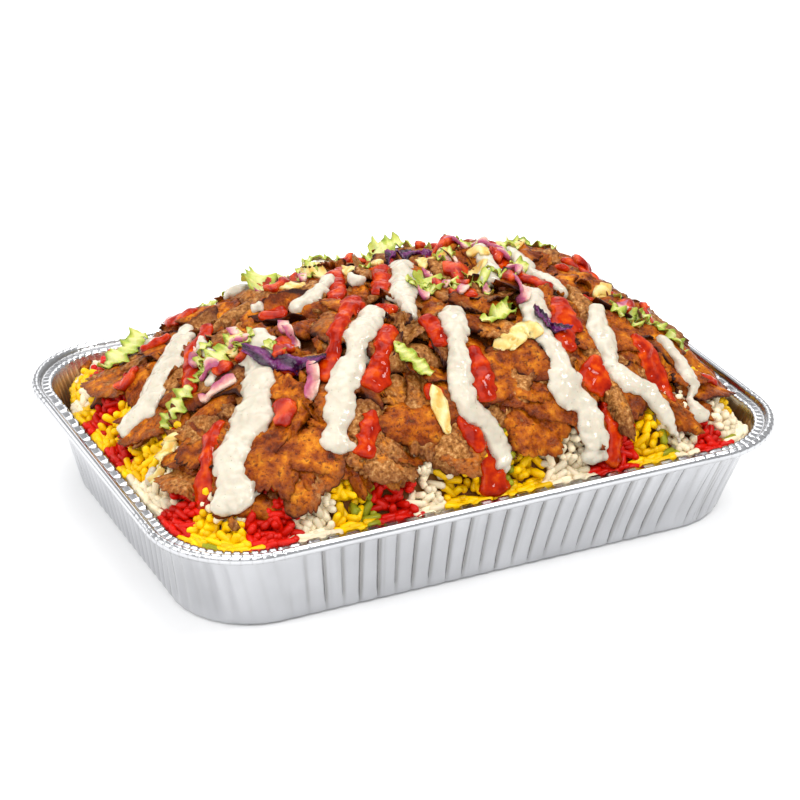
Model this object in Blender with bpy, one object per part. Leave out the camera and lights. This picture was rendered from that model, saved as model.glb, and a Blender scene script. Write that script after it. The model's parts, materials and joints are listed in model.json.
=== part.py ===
"""A foil catering tray heaped with rice, sliced grilled meat, sauces and salad.

Metres, +Z up. The origin is the middle of the tray's base, on the surface it stands on.
+X runs along the tray's long side and -Y is its front. The tray is a thin fluted shell
with a rolled edge. The rice fills it and rises in a bank; the meat lies over the rice as
a heap of overlapping slices with two drizzled sauces; salad pieces lie on top.
"""
import math
import random

import bmesh
import bpy
import numpy as np
from mathutils import Vector
from mathutils.bvhtree import BVHTree

# Tray: a half-size foil tray, measured over its rolled edge
TRAY_LENGTH = 0.320
TRAY_WIDTH = 0.246
TRAY_HEIGHT = 0.051
RIM_CORNER = 0.047
BASE_INSET_X = 0.0175
BASE_INSET_Y = 0.0236
BASE_CORNER = 0.039
FOOT_RISE = 0.004
WALL = 0.0007
FOOT_WIDTH = 0.004
WALL_TOP_INSET = 0.0096
WALL_TOP_Z = 0.0450
BEAD_WIDTH = 0.0044
BEAD_DROP = 0.0048
BEAD_EASE = 0.0012
LEDGE_Z = 0.0470
FLUTE_DEPTH = 0.0008
FLUTES_LONG = 24
FLUTES_SHORT = 18
FLUTES_CORNER = 9
BEAD_STEP = 3
FOOT_STEP = 2

# Mound: the food's own form, a dome over the tray's inner outline
FOOD_X = 0.150
FOOD_Y = 0.113
EDGE_Z = 0.043
RISE = 0.071
POWER_X = 2.8
POWER_Y = 2.4
PEAK_X = 0.010
PEAK_Y = -0.016
GAP = 0.0004

# Rice: the core's outline, and how far it lies under the mound at each ring
RICE_HALF_X = 0.1474
RICE_HALF_Y = 0.1098
RICE_CORNER = 0.036
RICE_COLUMNS = 120
RICE_RINGS = ((1.0, 0.0016), (0.965, 0.0016), (0.930, 0.0018))
BUMP = 0.0012
GRAIN_LENGTH = 0.0125
GRAIN_RADIUS = 0.0019
GRAIN_SIDES = 5
GRAIN_COUNT = 42
GRAIN_TRIES = 401
GRAIN_STRIDE = 7
GRAIN_REACH = (0.905, 0.985)
GRAIN_TURN = 0.9
GRAIN_SHOULDER = 0.6

# Meat: a core over the rice, with slices fused to it
CORE_COLUMNS = 40
BED_RINGS = ((0.895, 0.0034), (0.860, 0.0070), (0.800, 0.0120), (0.500, 0.0150), (0.0, 0.0150))
HEAP_TOP_RINGS = (0.895, 0.800, 0.600, 0.400, 0.200, 0.0)
HEAP_TOP_DROP = 0.0012
SLICE_ROWS = ((0.830, 20), (0.600, 9), (0.340, 4), (0.080, 1))
SLICE_LENGTH = (0.046, 0.068)
SLICE_WIDTH = (0.026, 0.036)
SLICE_THICKNESS = 0.0036
SLICE_POINTS = 8
SLICE_SINK = 0.0032
SLICE_REACH = (0.900, 0.950)
OVERHANG_FROM = 0.870
OVERHANG_LIFT = 0.0010

# Sauces: (width, route) of each pass, from the ridge down to its end
WHITE_HEIGHT = 0.0052
RED_HEIGHT = 0.0034
SAUCE_SECTION = ((-1.0, 0.0), (-0.8, 0.6), (0.0, 1.0), (0.8, 0.6), (1.0, 0.0))
SAUCE_SINK = 0.0030
STATION = 0.022
WHITE_PASSES = (
    (0.012, ((-0.093, 0.037), (-0.117, 0.019), (-0.126, 0.004), (-0.138, 0.003))),
    (0.015, ((-0.073, -0.008), (-0.093, -0.046), (-0.112, -0.066), (-0.122, -0.089))),
    (0.014, ((-0.025, -0.023), (-0.051, -0.056), (-0.066, -0.078), (-0.068, -0.088))),
    (0.013, ((0.010, -0.037), (-0.004, -0.072), (-0.003, -0.086), (0.005, -0.104))),
    (0.013, ((0.056, -0.033), (0.042, -0.072), (0.052, -0.092), (0.046, -0.108))),
    (0.013, ((0.088, -0.042), (0.075, -0.072), (0.089, -0.092), (0.097, -0.104))),
    (0.010, ((0.105, -0.023), (0.112, -0.050), (0.113, -0.082), (0.111, -0.098))),
    (0.012, ((0.048, 0.000), (0.033, -0.027))),
    (0.012, ((0.003, 0.002), (-0.010, -0.034))),
    (0.010, ((0.069, -0.001), (0.074, -0.030))),
)
RED_PASSES = (
    (0.010, ((-0.078, 0.032), (-0.100, 0.014), (-0.110, -0.014))),
    (0.010, ((-0.101, -0.040), (-0.118, -0.057), (-0.132, -0.075))),
    (0.012, ((-0.059, 0.011), (-0.064, -0.014), (-0.076, -0.036))),
    (0.009, ((-0.032, -0.017), (-0.048, -0.037), (-0.060, -0.054))),
    (0.012, ((0.009, -0.062), (0.004, -0.076), (0.002, -0.086))),
    (0.011, ((-0.008, -0.089), (-0.004, -0.099), (-0.003, -0.110))),
    (0.012, ((0.061, -0.047), (0.054, -0.062), (0.056, -0.075))),
    (0.012, ((0.061, -0.083), (0.064, -0.095), (0.061, -0.109))),
    (0.012, ((0.094, -0.053), (0.092, -0.070), (0.100, -0.090))),
    (0.011, ((-0.005, 0.012), (-0.018, -0.020))),
)
BACK_PASSES = 4
BACK_REACH = 0.096

# Salad: (x, y, heading in degrees, length, width) of each piece
LETTUCE = (
    (-0.113, 0.060, 20, 0.030, 0.018), (-0.050, 0.039, 60, 0.024, 0.016),
    (-0.089, -0.014, 25, 0.026, 0.014), (-0.118, -0.020, 15, 0.022, 0.013),
    (-0.010, 0.052, 10, 0.034, 0.017), (0.018, 0.042, -15, 0.028, 0.015),
    (-0.024, -0.066, 120, 0.024, 0.009), (0.028, -0.056, 20, 0.030, 0.009),
    (0.010, -0.020, 70, 0.030, 0.018), (0.086, 0.030, -20, 0.028, 0.016),
    (0.112, -0.058, 110, 0.026, 0.015), (0.040, 0.072, 35, 0.030, 0.016),
    (-0.070, 0.070, -30, 0.028, 0.016),
)
LETTUCE_WAVE = 0.0016
LEAF_THICKNESS = 0.0010
CABBAGE = (
    (-0.080, -0.044, -50, 0.040, 0.006), (0.018, 0.014, -10, 0.030, 0.005),
    (0.044, -0.065, -50, 0.017, 0.005), (-0.020, 0.078, 40, 0.030, 0.005),
)
CABBAGE_THICKNESS = 0.0020
ONION = (
    (-0.068, -0.060, 60, 0.018, 0.005), (-0.104, -0.033, -20, 0.016, 0.005),
    (0.044, -0.043, 80, 0.017, 0.005), (0.070, 0.052, 10, 0.018, 0.005),
)
ONION_THICKNESS = 0.0018
TOMATO = (
    (-0.124, 0.030, 10, 0.010, 0.009), (-0.086, -0.068, 40, 0.011, 0.009),
    (0.026, -0.012, 25, 0.012, 0.010), (0.100, 0.004, 70, 0.011, 0.010),
    (-0.052, 0.020, 15, 0.011, 0.009),
)
TOMATO_HEIGHT = 0.0060
DROP_FROM = 0.200
CLEAR_STEPS = 24


def clear_scene():
    """Remove every object, so that the file holds only this model."""
    for item in list(bpy.data.objects):
        bpy.data.objects.remove(item, do_unlink=True)


def material(name, colour, roughness, metallic=0.0):
    """Return a Principled material of one colour."""
    finish = bpy.data.materials.new(name)
    finish.use_nodes = True
    shader = finish.node_tree.nodes["Principled BSDF"]
    shader.inputs["Base Color"].default_value = (*colour, 1.0)
    shader.inputs["Roughness"].default_value = roughness
    shader.inputs["Metallic"].default_value = metallic
    finish.diffuse_color = (*colour, 1.0)
    return finish


def solid(name, points, faces, finish=None):
    """Return an object made of the points and faces, in the scene."""
    mesh = bpy.data.meshes.new(name)
    mesh.from_pydata([tuple(point) for point in points], [], faces)
    mesh.validate()
    tool = bmesh.new()
    tool.from_mesh(mesh)
    bmesh.ops.recalc_face_normals(tool, faces=tool.faces)
    tool.to_mesh(mesh)
    tool.free()
    item = bpy.data.objects.new(name, mesh)
    if finish:
        mesh.materials.append(finish)
    bpy.context.scene.collection.objects.link(item)
    return item


def rounded_ring(half_x, half_y, radius, long_count, short_count, corner_count):
    """Return points and outward normals round a rounded rectangle, anticlockwise.

    Each side has the given number of steps, so rings of any size match point by point.
    """
    ring = []
    middle_x, middle_y = half_x - radius, half_y - radius
    corners = ((1, -1, -90), (1, 1, 0), (-1, 1, 90), (-1, -1, 180))
    runs = (short_count, long_count, short_count, long_count)
    for index, (side_x, side_y, start) in enumerate(corners):
        centre = Vector((side_x * middle_x, side_y * middle_y))
        for step in range(corner_count):
            turn = math.radians(start + 90 * step / corner_count)
            outward = Vector((math.cos(turn), math.sin(turn)))
            ring.append((centre + radius * outward, outward))
        turn = math.radians(start + 90)
        outward = Vector((math.cos(turn), math.sin(turn)))
        following = corners[(index + 1) % 4]
        first = centre + radius * outward
        last = Vector((following[0] * middle_x, following[1] * middle_y)) + radius * outward
        for step in range(runs[index]):
            ring.append((first.lerp(last, step / runs[index]), outward))
    return ring


def bridge(faces, lower, upper):
    """Add faces between two closed rings of point numbers, the counts being multiples."""
    if len(lower) > len(upper):
        flipped = []
        bridge(flipped, upper, lower)
        faces.extend(tuple(reversed(face)) for face in flipped)
        return
    share = len(upper) // len(lower)
    for index, start in enumerate(lower):
        end = lower[(index + 1) % len(lower)]
        for step in range(share):
            near = upper[index * share + step]
            far = upper[(index * share + step + 1) % len(upper)]
            faces.append((start, far, near))
        faces.append((start, end, upper[((index + 1) * share) % len(upper)]))


def build_tray(finish):
    """Make the fluted foil tray with its ledge and rolled edge, as one thin shell."""
    columns = (FLUTES_LONG * 2, FLUTES_SHORT * 2, FLUTES_CORNER * 2)
    bead_low = TRAY_HEIGHT - BEAD_DROP
    # added inset from the wall's foot, height, corner radius, fluted, column step
    outer_foot = (
        (FOOT_WIDTH, 0.0, BASE_CORNER - FOOT_WIDTH, False, FOOT_STEP),
        (0.0, FOOT_RISE, BASE_CORNER, True, 1),
    )
    # inset from the rolled edge, height, corner radius, fluted, column step
    rim = (
        (WALL_TOP_INSET, WALL_TOP_Z, RIM_CORNER - WALL_TOP_INSET, True, 1),
        (BEAD_WIDTH, bead_low - BEAD_EASE / 2, RIM_CORNER - BEAD_WIDTH, False, BEAD_STEP),
        (BEAD_EASE, bead_low, RIM_CORNER - BEAD_EASE, False, BEAD_STEP),
        (0.0, TRAY_HEIGHT - BEAD_WIDTH / 2, RIM_CORNER, False, BEAD_STEP),
        (BEAD_WIDTH / 2, TRAY_HEIGHT, RIM_CORNER - BEAD_WIDTH / 2, False, BEAD_STEP),
        (BEAD_WIDTH, TRAY_HEIGHT - 1.5 * BEAD_EASE, RIM_CORNER - BEAD_WIDTH, False, BEAD_STEP),
        (WALL_TOP_INSET + WALL, LEDGE_Z, RIM_CORNER - WALL_TOP_INSET - WALL, True, 1),
    )
    inner_foot = (
        (WALL, FOOT_RISE + WALL, BASE_CORNER - WALL, True, 1),
        (FOOT_WIDTH + WALL, WALL, BASE_CORNER - FOOT_WIDTH - WALL, False, FOOT_STEP),
    )
    profile = [(BASE_INSET_X + row[0], BASE_INSET_Y + row[0], *row[1:]) for row in outer_foot]
    profile += [(row[0], *row) for row in rim]
    profile += [(BASE_INSET_X + row[0], BASE_INSET_Y + row[0], *row[1:]) for row in inner_foot]
    points, loops = [], []
    for inset_x, inset_y, height, radius, fluted, step in profile:
        ring = rounded_ring(TRAY_LENGTH / 2 - inset_x, TRAY_WIDTH / 2 - inset_y, radius, *columns)
        loop = []
        for column in range(0, len(ring), step):
            place, outward = ring[column]
            groove = FLUTE_DEPTH if fluted and column % 2 else 0.0
            loop.append(len(points))
            points.append((*(place - groove * outward), height))
        loops.append(loop)
    faces = [tuple(reversed(loops[0])), tuple(loops[-1])]
    for lower, upper in zip(loops, loops[1:]):
        bridge(faces, lower, upper)
    return solid("tray", points, faces, finish)


def mound(x, y):
    """Return the height of the food's surface at a point."""
    across = abs(x - PEAK_X * (1 - (x / FOOD_X) ** 2)) / FOOD_X
    along = abs(y - PEAK_Y * (1 - (y / FOOD_Y) ** 2)) / FOOD_Y
    fall_x = 1 - min(across, 1.0) ** POWER_X
    fall_y = 1 - min(along, 1.0) ** POWER_Y
    return EDGE_Z + RISE * fall_x * fall_y


def food_outline(columns):
    """Return the rice's outline as points, with its columns shared out along it."""
    corner = columns // 10
    long_side = columns // 5
    short_side = columns // 2 - long_side - 2 * corner
    ring = rounded_ring(RICE_HALF_X, RICE_HALF_Y, RICE_CORNER, long_side, short_side, corner)
    return [place for place, outward in ring]


def ring_of(outline, scale, drop, points):
    """Add the outline, scaled and laid on the mound less a drop; return its numbers."""
    loop = []
    for place in outline if scale else outline[:1]:
        x, y = place * scale
        loop.append(len(points))
        points.append(Vector((x, y, mound(x, y) - drop)))
    return loop


def cap(faces, ring, centre):
    """Add a fan of faces from a ring to one point."""
    for index, start in enumerate(ring):
        faces.append((start, ring[(index + 1) % len(ring)], centre))


def rice_core(finish):
    """Make the rice's bed: it fills the tray, with a bumpy bank round the meat."""
    rng = random.Random(3)
    outline = food_outline(RICE_COLUMNS)
    inner_outline = outline[::RICE_COLUMNS // CORE_COLUMNS]
    points, loops, faces = [], [], []
    inset = FOOT_WIDTH + WALL + FLUTE_DEPTH + 3 * GAP
    foot_x = TRAY_LENGTH / 2 - BASE_INSET_X - inset
    foot_y = TRAY_WIDTH / 2 - BASE_INSET_Y - inset
    narrow = rounded_ring(foot_x, foot_y, BASE_CORNER - inset, RICE_COLUMNS // 5,
                          RICE_COLUMNS // 10, RICE_COLUMNS // 10)
    loops.append([len(points) + index for index in range(len(narrow))])
    points.extend(Vector((*place, WALL + GAP)) for place, outward in narrow)
    for scale, drop in RICE_RINGS:
        loop = ring_of(outline, scale, drop, points)
        for number in loop:
            points[number].z += rng.uniform(-BUMP, BUMP)
        loops.append(loop)
    for scale, drop in BED_RINGS[:-1]:
        loops.append(ring_of(inner_outline, scale, drop, points))
    summit = ring_of(outline, *BED_RINGS[-1], points)[0]
    faces.append(tuple(reversed(loops[0])))
    for lower, upper in zip(loops, loops[1:]):
        bridge(faces, lower, upper)
    cap(faces, loops[-1], summit)
    return solid("rice_bed", points, faces, finish)


def heap_core(finish):
    """Make the meat's core: a lens over the rice's bed, a gap clear of it."""
    outline = food_outline(RICE_COLUMNS)[::RICE_COLUMNS // CORE_COLUMNS]
    points, faces = [], []
    under = [ring_of(outline, scale, drop - 1.4 * GAP, points) for scale, drop in BED_RINGS]
    over = [ring_of(outline, scale, HEAP_TOP_DROP, points) for scale in HEAP_TOP_RINGS]
    for rings in (under, over):
        for outer, inner in zip(rings[:-1], rings[1:-1]):
            bridge(faces, outer, inner)
        cap(faces, rings[-2], rings[-1][0])
    bridge(faces, under[0], over[0])
    return solid("meat_heap", points, faces, finish)


def heap_reach(x, y):
    """Return how far out a point lies, from 0 at the middle to 1 at the rice's outline."""
    return max(abs(x) / RICE_HALF_X, abs(y) / RICE_HALF_Y)


def meat_slice(rng, x, y, heading):
    """Make one thin curled slice that follows the mound, its outline ragged."""
    length = rng.uniform(*SLICE_LENGTH) / 2
    width = rng.uniform(*SLICE_WIDTH) / 2
    curl = rng.uniform(0.002, 0.006)
    tilt = rng.uniform(-0.10, 0.10)
    direction = Vector((math.cos(heading), math.sin(heading)))
    sideways = Vector((-direction.y, direction.x))
    top, bottom, faces = [], [], []
    for index in range(SLICE_POINTS):
        turn = 2 * math.pi * index / SLICE_POINTS
        ragged = rng.uniform(0.80, 1.12)
        along = length * ragged * math.copysign(abs(math.cos(turn)) ** 0.8, math.cos(turn))
        across = width * ragged * math.copysign(abs(math.sin(turn)) ** 0.8, math.sin(turn))
        place = Vector((x, y)) + direction * along + sideways * across
        place *= min(1.0, rng.uniform(*SLICE_REACH) / heap_reach(*place))
        height = mound(*place) + abs(tilt * along) + curl * (across / width) ** 2
        top.append((*place, height + SLICE_THICKNESS * 0.75))
        sunk = mound(*place) - SLICE_SINK
        if heap_reach(*place) > OVERHANG_FROM:
            sunk = height
        bottom.append((*place, sunk))
    middle = mound(x, y)
    points = top + bottom
    points += [(x, y, middle + SLICE_THICKNESS + 0.001), (x, y, middle - SLICE_SINK)]
    count = SLICE_POINTS
    for index in range(count):
        following = (index + 1) % count
        faces.append((index, following, 2 * count))
        faces.append((following + count, index + count, 2 * count + 1))
        faces.append((following, index, index + count, following + count))
    return solid("slice", points, faces)


def meat_slices(rng, rice_tree):
    """Lay the slices in rows round the heap, the lowest row over the rice's edge."""
    made = []
    for reach, count in SLICE_ROWS:
        ring = rounded_ring(RICE_HALF_X * reach, RICE_HALF_Y * reach, RICE_CORNER * reach,
                            4 * count, 3 * count, count)
        for index in range(count):
            place, outward = ring[round((index + 0.5) * len(ring) / count) % len(ring)]
            facing = math.atan2(outward.y, outward.x) + math.pi / 2
            heading = facing + rng.uniform(-0.6, 0.6)
            x = place.x + rng.uniform(-0.004, 0.004) - 0.006 * outward.x
            y = place.y + rng.uniform(-0.004, 0.004) - 0.006 * outward.y
            made.append(meat_slice(rng, x, y, heading))
            raise_clear(made[-1], rice_tree)
    return made


def smooth_route(route, spacing):
    """Return points about a spacing apart on a smooth curve through the route."""
    knots = np.array(route)
    if len(knots) == 2:
        knots = np.array([knots[0], knots.mean(axis=0), knots[1]])
    before = 2 * knots[0] - knots[1]
    after = 2 * knots[-1] - knots[-2]
    frame = np.vstack([before, knots, after])
    reach = np.linalg.norm(np.diff(knots, axis=0), axis=1).sum()
    count = max(3, round(reach / spacing) + 1)
    places = []
    for travel in np.linspace(0, len(knots) - 1, count):
        part = min(int(travel), len(knots) - 2)
        t = travel - part
        a, b, c, d = frame[part:part + 4]
        spot = 0.5 * (2 * b + (c - a) * t + (2 * a - 5 * b + 4 * c - d) * t ** 2
                      + (3 * b - a - 3 * c + d) * t ** 3)
        places.append(Vector(spot.tolist()))
    return places


def sauce(rng, width, height, route):
    """Make one drizzled pass: a rounded ribbon on the mound, with blunt ends."""
    places = smooth_route(route, STATION)
    points, faces, rings = [], [], []
    last = len(places) - 1
    for index, place in enumerate(places):
        ahead = (places[min(index + 1, last)] - places[max(index - 1, 0)]).normalized()
        side = Vector((-ahead.y, ahead.x))
        swell = rng.uniform(0.85, 1.15) * (0.6 if index == 0 else 1.0)
        half = width / 2 * swell
        ring = []
        for across, rise in SAUCE_SECTION:
            spot = place + side * half * across
            ring.append(len(points))
            level = SLICE_THICKNESS * 0.7 + height * rise
            if rise == 0:
                level = OVERHANG_LIFT if heap_reach(*spot) > OVERHANG_FROM else -SAUCE_SINK
            points.append((*spot, mound(*spot) + level))
        rings.append(ring)
    for near, far in zip(rings, rings[1:]):
        bridge(faces, near, far)
    faces.append(tuple(rings[0]))
    faces.append(tuple(reversed(rings[-1])))
    return solid("sauce", points, faces)


def sauces(rng, rice_tree):
    """Make every pass of both sauces, those at the back spaced by a rule."""
    made = [sauce(rng, width, WHITE_HEIGHT, route) for width, route in WHITE_PASSES]
    made += [sauce(rng, width, RED_HEIGHT, route) for width, route in RED_PASSES]
    for index in range(BACK_PASSES):
        start = -0.100 + 0.200 * (index + 0.5) / BACK_PASSES
        white = ((start, 0.036), (start - 0.010, 0.066), (start - 0.004, BACK_REACH))
        red = ((start + 0.018, 0.030), (start + 0.014, 0.054), (start + 0.020, 0.080))
        made.append(sauce(rng, 0.013, WHITE_HEIGHT, white))
        made.append(sauce(rng, 0.010, RED_HEIGHT, red))
    for item in made:
        raise_clear(item, rice_tree)
    return made


def outer_shell(item):
    """Keep the largest closed surface: a sealed hollow is filled, a scrap dropped."""
    tool = bmesh.new()
    tool.from_mesh(item.data)
    unseen = set(tool.faces)
    shells = []
    while unseen:
        front = [unseen.pop()]
        shell = list(front)
        while front:
            for edge in front.pop().edges:
                for face in edge.link_faces:
                    if face in unseen:
                        unseen.remove(face)
                        front.append(face)
                        shell.append(face)
        shells.append(shell)
    shells.sort(key=len)
    for shell in shells[:-1]:
        bmesh.ops.delete(tool, geom=shell, context="FACES")
    tool.to_mesh(item.data)
    tool.free()


def fuse(base, pieces, solver):
    """Join the pieces to the base with one Boolean union, and remove them."""
    group = bpy.data.collections.new("pieces")
    bpy.context.scene.collection.children.link(group)
    for piece in pieces:
        group.objects.link(piece)
    union = base.modifiers.new("union", "BOOLEAN")
    union.operation = "UNION"
    union.operand_type = "COLLECTION"
    union.collection = group
    union.solver = solver
    bpy.context.view_layer.update()
    result = base.evaluated_get(bpy.context.evaluated_depsgraph_get())
    joined = bpy.data.meshes.new_from_object(result)
    base.modifiers.remove(union)
    finish = base.data.materials[0]
    base.data = joined
    joined.materials.clear()
    joined.materials.append(finish)
    for piece in pieces:
        bpy.data.objects.remove(piece, do_unlink=True)
    bpy.data.collections.remove(group)
    outer_shell(base)
    return base


def tree_of(items):
    """Return one search tree over several objects' triangles."""
    points, faces = [], []
    for item in items:
        offset = len(points)
        points.extend(vertex.co.copy() for vertex in item.data.vertices)
        item.data.calc_loop_triangles()
        for triangle in item.data.loop_triangles:
            faces.append(tuple(number + offset for number in triangle.vertices))
    return BVHTree.FromPolygons(points, faces)


def grain(centre, direction, up):
    """Make one rice grain: a five-sided spindle with blunt ends."""
    side = direction.cross(up).normalized()
    rise = side.cross(direction)
    half = GRAIN_LENGTH / 2
    points = [centre - direction * half]
    for along in (-GRAIN_SHOULDER, GRAIN_SHOULDER):
        for index in range(GRAIN_SIDES):
            turn = 2 * math.pi * index / GRAIN_SIDES
            ring = side * math.cos(turn) + rise * math.sin(turn)
            points.append(centre + direction * half * along + ring * GRAIN_RADIUS)
    points.append(centre + direction * half)
    near = list(range(1, GRAIN_SIDES + 1))
    far = list(range(GRAIN_SIDES + 1, 2 * GRAIN_SIDES + 1))
    faces = []
    cap(faces, near, 0)
    cap(faces, far, 2 * GRAIN_SIDES + 1)
    bridge(faces, near, far)
    return solid("grain", points, faces)


def inside_wall(spot, radius):
    """Return whether a spot keeps clear of the tray's inner wall."""
    margin = radius + 2 * GAP + FLUTE_DEPTH + WALL_TOP_INSET + WALL
    half_x = TRAY_LENGTH / 2 - margin
    half_y = TRAY_WIDTH / 2 - margin
    corner = RIM_CORNER - margin
    over_x = max(abs(spot.x) - (half_x - corner), 0.0)
    over_y = max(abs(spot.y) - (half_y - corner), 0.0)
    return math.hypot(over_x, over_y) < corner


def rice_grains(rng, heap_tree):
    """Scatter grains along the bank, leaving out what would touch the meat or tray."""
    outline = food_outline(RICE_COLUMNS)
    made = []
    for index in range(GRAIN_TRIES):
        travel = (index * GRAIN_STRIDE + rng.random()) / GRAIN_TRIES * len(outline)
        near = outline[int(travel) % len(outline)]
        far = outline[(int(travel) + 1) % len(outline)]
        x, y = near.lerp(far, travel % 1) * rng.uniform(*GRAIN_REACH)
        along = far - near
        turn = math.atan2(along.y, along.x) + rng.uniform(-GRAIN_TURN, GRAIN_TURN)
        step = Vector((math.cos(turn), math.sin(turn))) * GRAIN_LENGTH / 2
        first = Vector((x - step.x, y - step.y, mound(x - step.x, y - step.y)))
        last = Vector((x + step.x, y + step.y, mound(x + step.x, y + step.y)))
        centre = (first + last) / 2
        spots = [first.lerp(last, share) for share in (0.0, 0.25, 0.5, 0.75, 1.0)]
        clear = all(inside_wall(spot, GRAIN_RADIUS) for spot in spots)
        for spot in spots:
            touch, facing, number, distance = heap_tree.find_nearest(spot)
            clear = clear and distance > GRAIN_RADIUS + 2 * GAP
            clear = clear and facing.dot(spot - touch) > 0
        if clear and len(made) < GRAIN_COUNT:
            made.append(grain(centre, (last - first).normalized(), Vector((0, 0, 1))))
    return made


def surface_below(tree, x, y):
    """Return the height of whatever lies under a point, or the mound's own."""
    hit = tree.ray_cast(Vector((x, y, DROP_FROM)), Vector((0, 0, -1)))
    return hit[0].z if hit[0] else mound(x, y)


def draped_height(tree, x, y, reach):
    """Return the height that clears what lies under a point and round it."""
    spots = [(x, y)]
    for index in range(8):
        turn = index * math.pi / 4
        spots.append((x + reach * math.cos(turn), y + reach * math.sin(turn)))
    return max(surface_below(tree, *spot) for spot in spots)


def strip(name, tree, place, thickness, columns, rows, wave, finish):
    """Make a thin solid on a grid, laid over what is under it, both faces split alike.

    place is (x, y, heading, length, width) and wave(along, across) adds to its height,
    with along and across running from -1 to 1.
    """
    x, y, degrees, length, width = place
    heading = math.radians(degrees)
    direction = Vector((math.cos(heading), math.sin(heading)))
    sideways = Vector((-direction.y, direction.x))
    reach = length / columns / 2
    top, bottom = [], []
    for column in range(columns + 1):
        along = 2 * column / columns - 1
        taper = 1 - 0.45 * abs(along) ** 3
        for row in range(rows + 1):
            across = (2 * row / rows - 1) * taper
            bow = 0.10 * length * along ** 2
            spot = Vector((x, y)) + direction * along * length / 2
            spot += sideways * (across * width / 2 + bow)
            height = draped_height(tree, spot.x, spot.y, reach) + GAP + wave(along, across)
            bottom.append(Vector((*spot, height)))
            top.append(Vector((*spot, height + thickness)))
    points = bottom + top
    offset = len(bottom)
    faces = []
    for column in range(columns):
        for row in range(rows):
            a = column * (rows + 1) + row
            b, c, d = a + rows + 1, a + rows + 2, a + 1
            for shift in (0, offset):
                faces.append((a + shift, b + shift, c + shift))
                faces.append((a + shift, c + shift, d + shift))
    rim = [column * (rows + 1) for column in range(columns + 1)]
    rim += [columns * (rows + 1) + row for row in range(1, rows + 1)]
    rim += [column * (rows + 1) + rows for column in range(columns - 1, -1, -1)]
    rim += [row for row in range(rows - 1, 0, -1)]
    for near, far in zip(rim, rim[1:] + rim[:1]):
        faces.append((near, far, far + offset))
        faces.append((near, far + offset, near + offset))
    item = solid(name, points, faces, finish)
    raise_clear(item, tree)
    return item


def lift(item, height):
    """Move a piece's points up."""
    for vertex in item.data.vertices:
        vertex.co.z += height


def raise_clear(item, tree):
    """Lift a piece until nothing that lies under it reaches into it."""
    own = tree_of([item])
    need = 0.0
    corners = [vertex.co for vertex in item.data.vertices]
    low = Vector([min(corner[axis] for corner in corners) for axis in range(2)])
    high = Vector([max(corner[axis] for corner in corners) for axis in range(2)])
    for column in range(CLEAR_STEPS + 1):
        for row in range(CLEAR_STEPS + 1):
            x = low.x + (high.x - low.x) * column / CLEAR_STEPS
            y = low.y + (high.y - low.y) * row / CLEAR_STEPS
            hit = own.ray_cast(Vector((x, y, 0.0)), Vector((0, 0, 1)))
            if hit[0]:
                need = max(need, surface_below(tree, x, y) + GAP - hit[0].z)
    lift(item, need)
    crossed = False
    while tree_of([item]).overlap(tree):
        lift(item, GAP)
        crossed = True
    if crossed:
        lift(item, GAP)


def lettuce_piece(index, tree, place, finish):
    """Make one frilled leaf piece."""
    phase = index * 1.7

    def frill(along, across):
        edge = abs(across) ** 1.5
        return LETTUCE_WAVE * (1 + math.sin(3.2 * along + phase + 1.5 * across)) * (0.3 + edge)

    return strip(f"lettuce_{index}", tree, place, LEAF_THICKNESS, 4, 2, frill, finish)


def cabbage_piece(index, tree, place, finish):
    """Make one shred of red cabbage, its ends turned up."""
    def arch(along, across):
        return 0.0012 * along ** 2

    return strip(f"cabbage_{index}", tree, place, CABBAGE_THICKNESS, 6, 1, arch, finish)


def onion_piece(index, tree, place, finish):
    """Make one short arc of onion."""
    def arch(along, across):
        return 0.0008 * (1 - along ** 2)

    return strip(f"onion_{index}", tree, place, ONION_THICKNESS, 4, 1, arch, finish)


def tomato_piece(index, tree, place, finish):
    """Make one cut cube of tomato, its top narrower than its foot."""
    def crown(along, across):
        return 0.0005 * (1 - along ** 2)

    return strip(f"tomato_{index}", tree, place, TOMATO_HEIGHT, 2, 2, crown, finish)


def build_salad(heap, finishes):
    """Lay every salad piece over the heap and the pieces already there."""
    laid = [heap]
    kinds = ((LETTUCE, lettuce_piece, "lettuce"), (CABBAGE, cabbage_piece, "cabbage"),
             (ONION, onion_piece, "onion"), (TOMATO, tomato_piece, "tomato"))
    for places, make, name in kinds:
        for index, place in enumerate(places, start=1):
            laid.append(make(index, tree_of(laid), place, finishes[name]))


def main():
    """Build the tray, the rice, the meat with its sauces, and the salad."""
    clear_scene()
    finishes = {
        "foil": material("bright foil", (0.82, 0.83, 0.85), 0.28, 1.0),
        "rice": material("steamed rice", (0.88, 0.72, 0.30), 0.55),
        "meat": material("grilled meat", (0.42, 0.17, 0.06), 0.50),
        "lettuce": material("lettuce leaf", (0.45, 0.62, 0.14), 0.45),
        "cabbage": material("red cabbage", (0.20, 0.03, 0.22), 0.40),
        "onion": material("red onion", (0.80, 0.45, 0.50), 0.35),
        "tomato": material("tomato flesh", (0.72, 0.08, 0.05), 0.30),
    }
    build_tray(finishes["foil"])
    rng = random.Random(11)
    bed = rice_core(finishes["rice"])
    bed_tree = tree_of([bed])
    heap = heap_core(finishes["meat"])
    fuse(heap, meat_slices(rng, bed_tree) + sauces(rng, bed_tree), "MANIFOLD")
    fuse(bed, rice_grains(rng, tree_of([heap])), "MANIFOLD")
    build_salad(heap, finishes)


main()
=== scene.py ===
"""Looks of a foil catering tray heaped with rice, grilled meat, sauces and salad.

Metres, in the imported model's frame: +X runs along the tray, -Y is its front and +Z is up.
Each class builds one part of the dish and dresses it; main() builds them in order.
"""
from __future__ import annotations

import json
import logging
import math
import random
from collections.abc import Callable, Iterable, Sequence
from dataclasses import dataclass, field
from enum import Enum
from functools import partial

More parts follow.
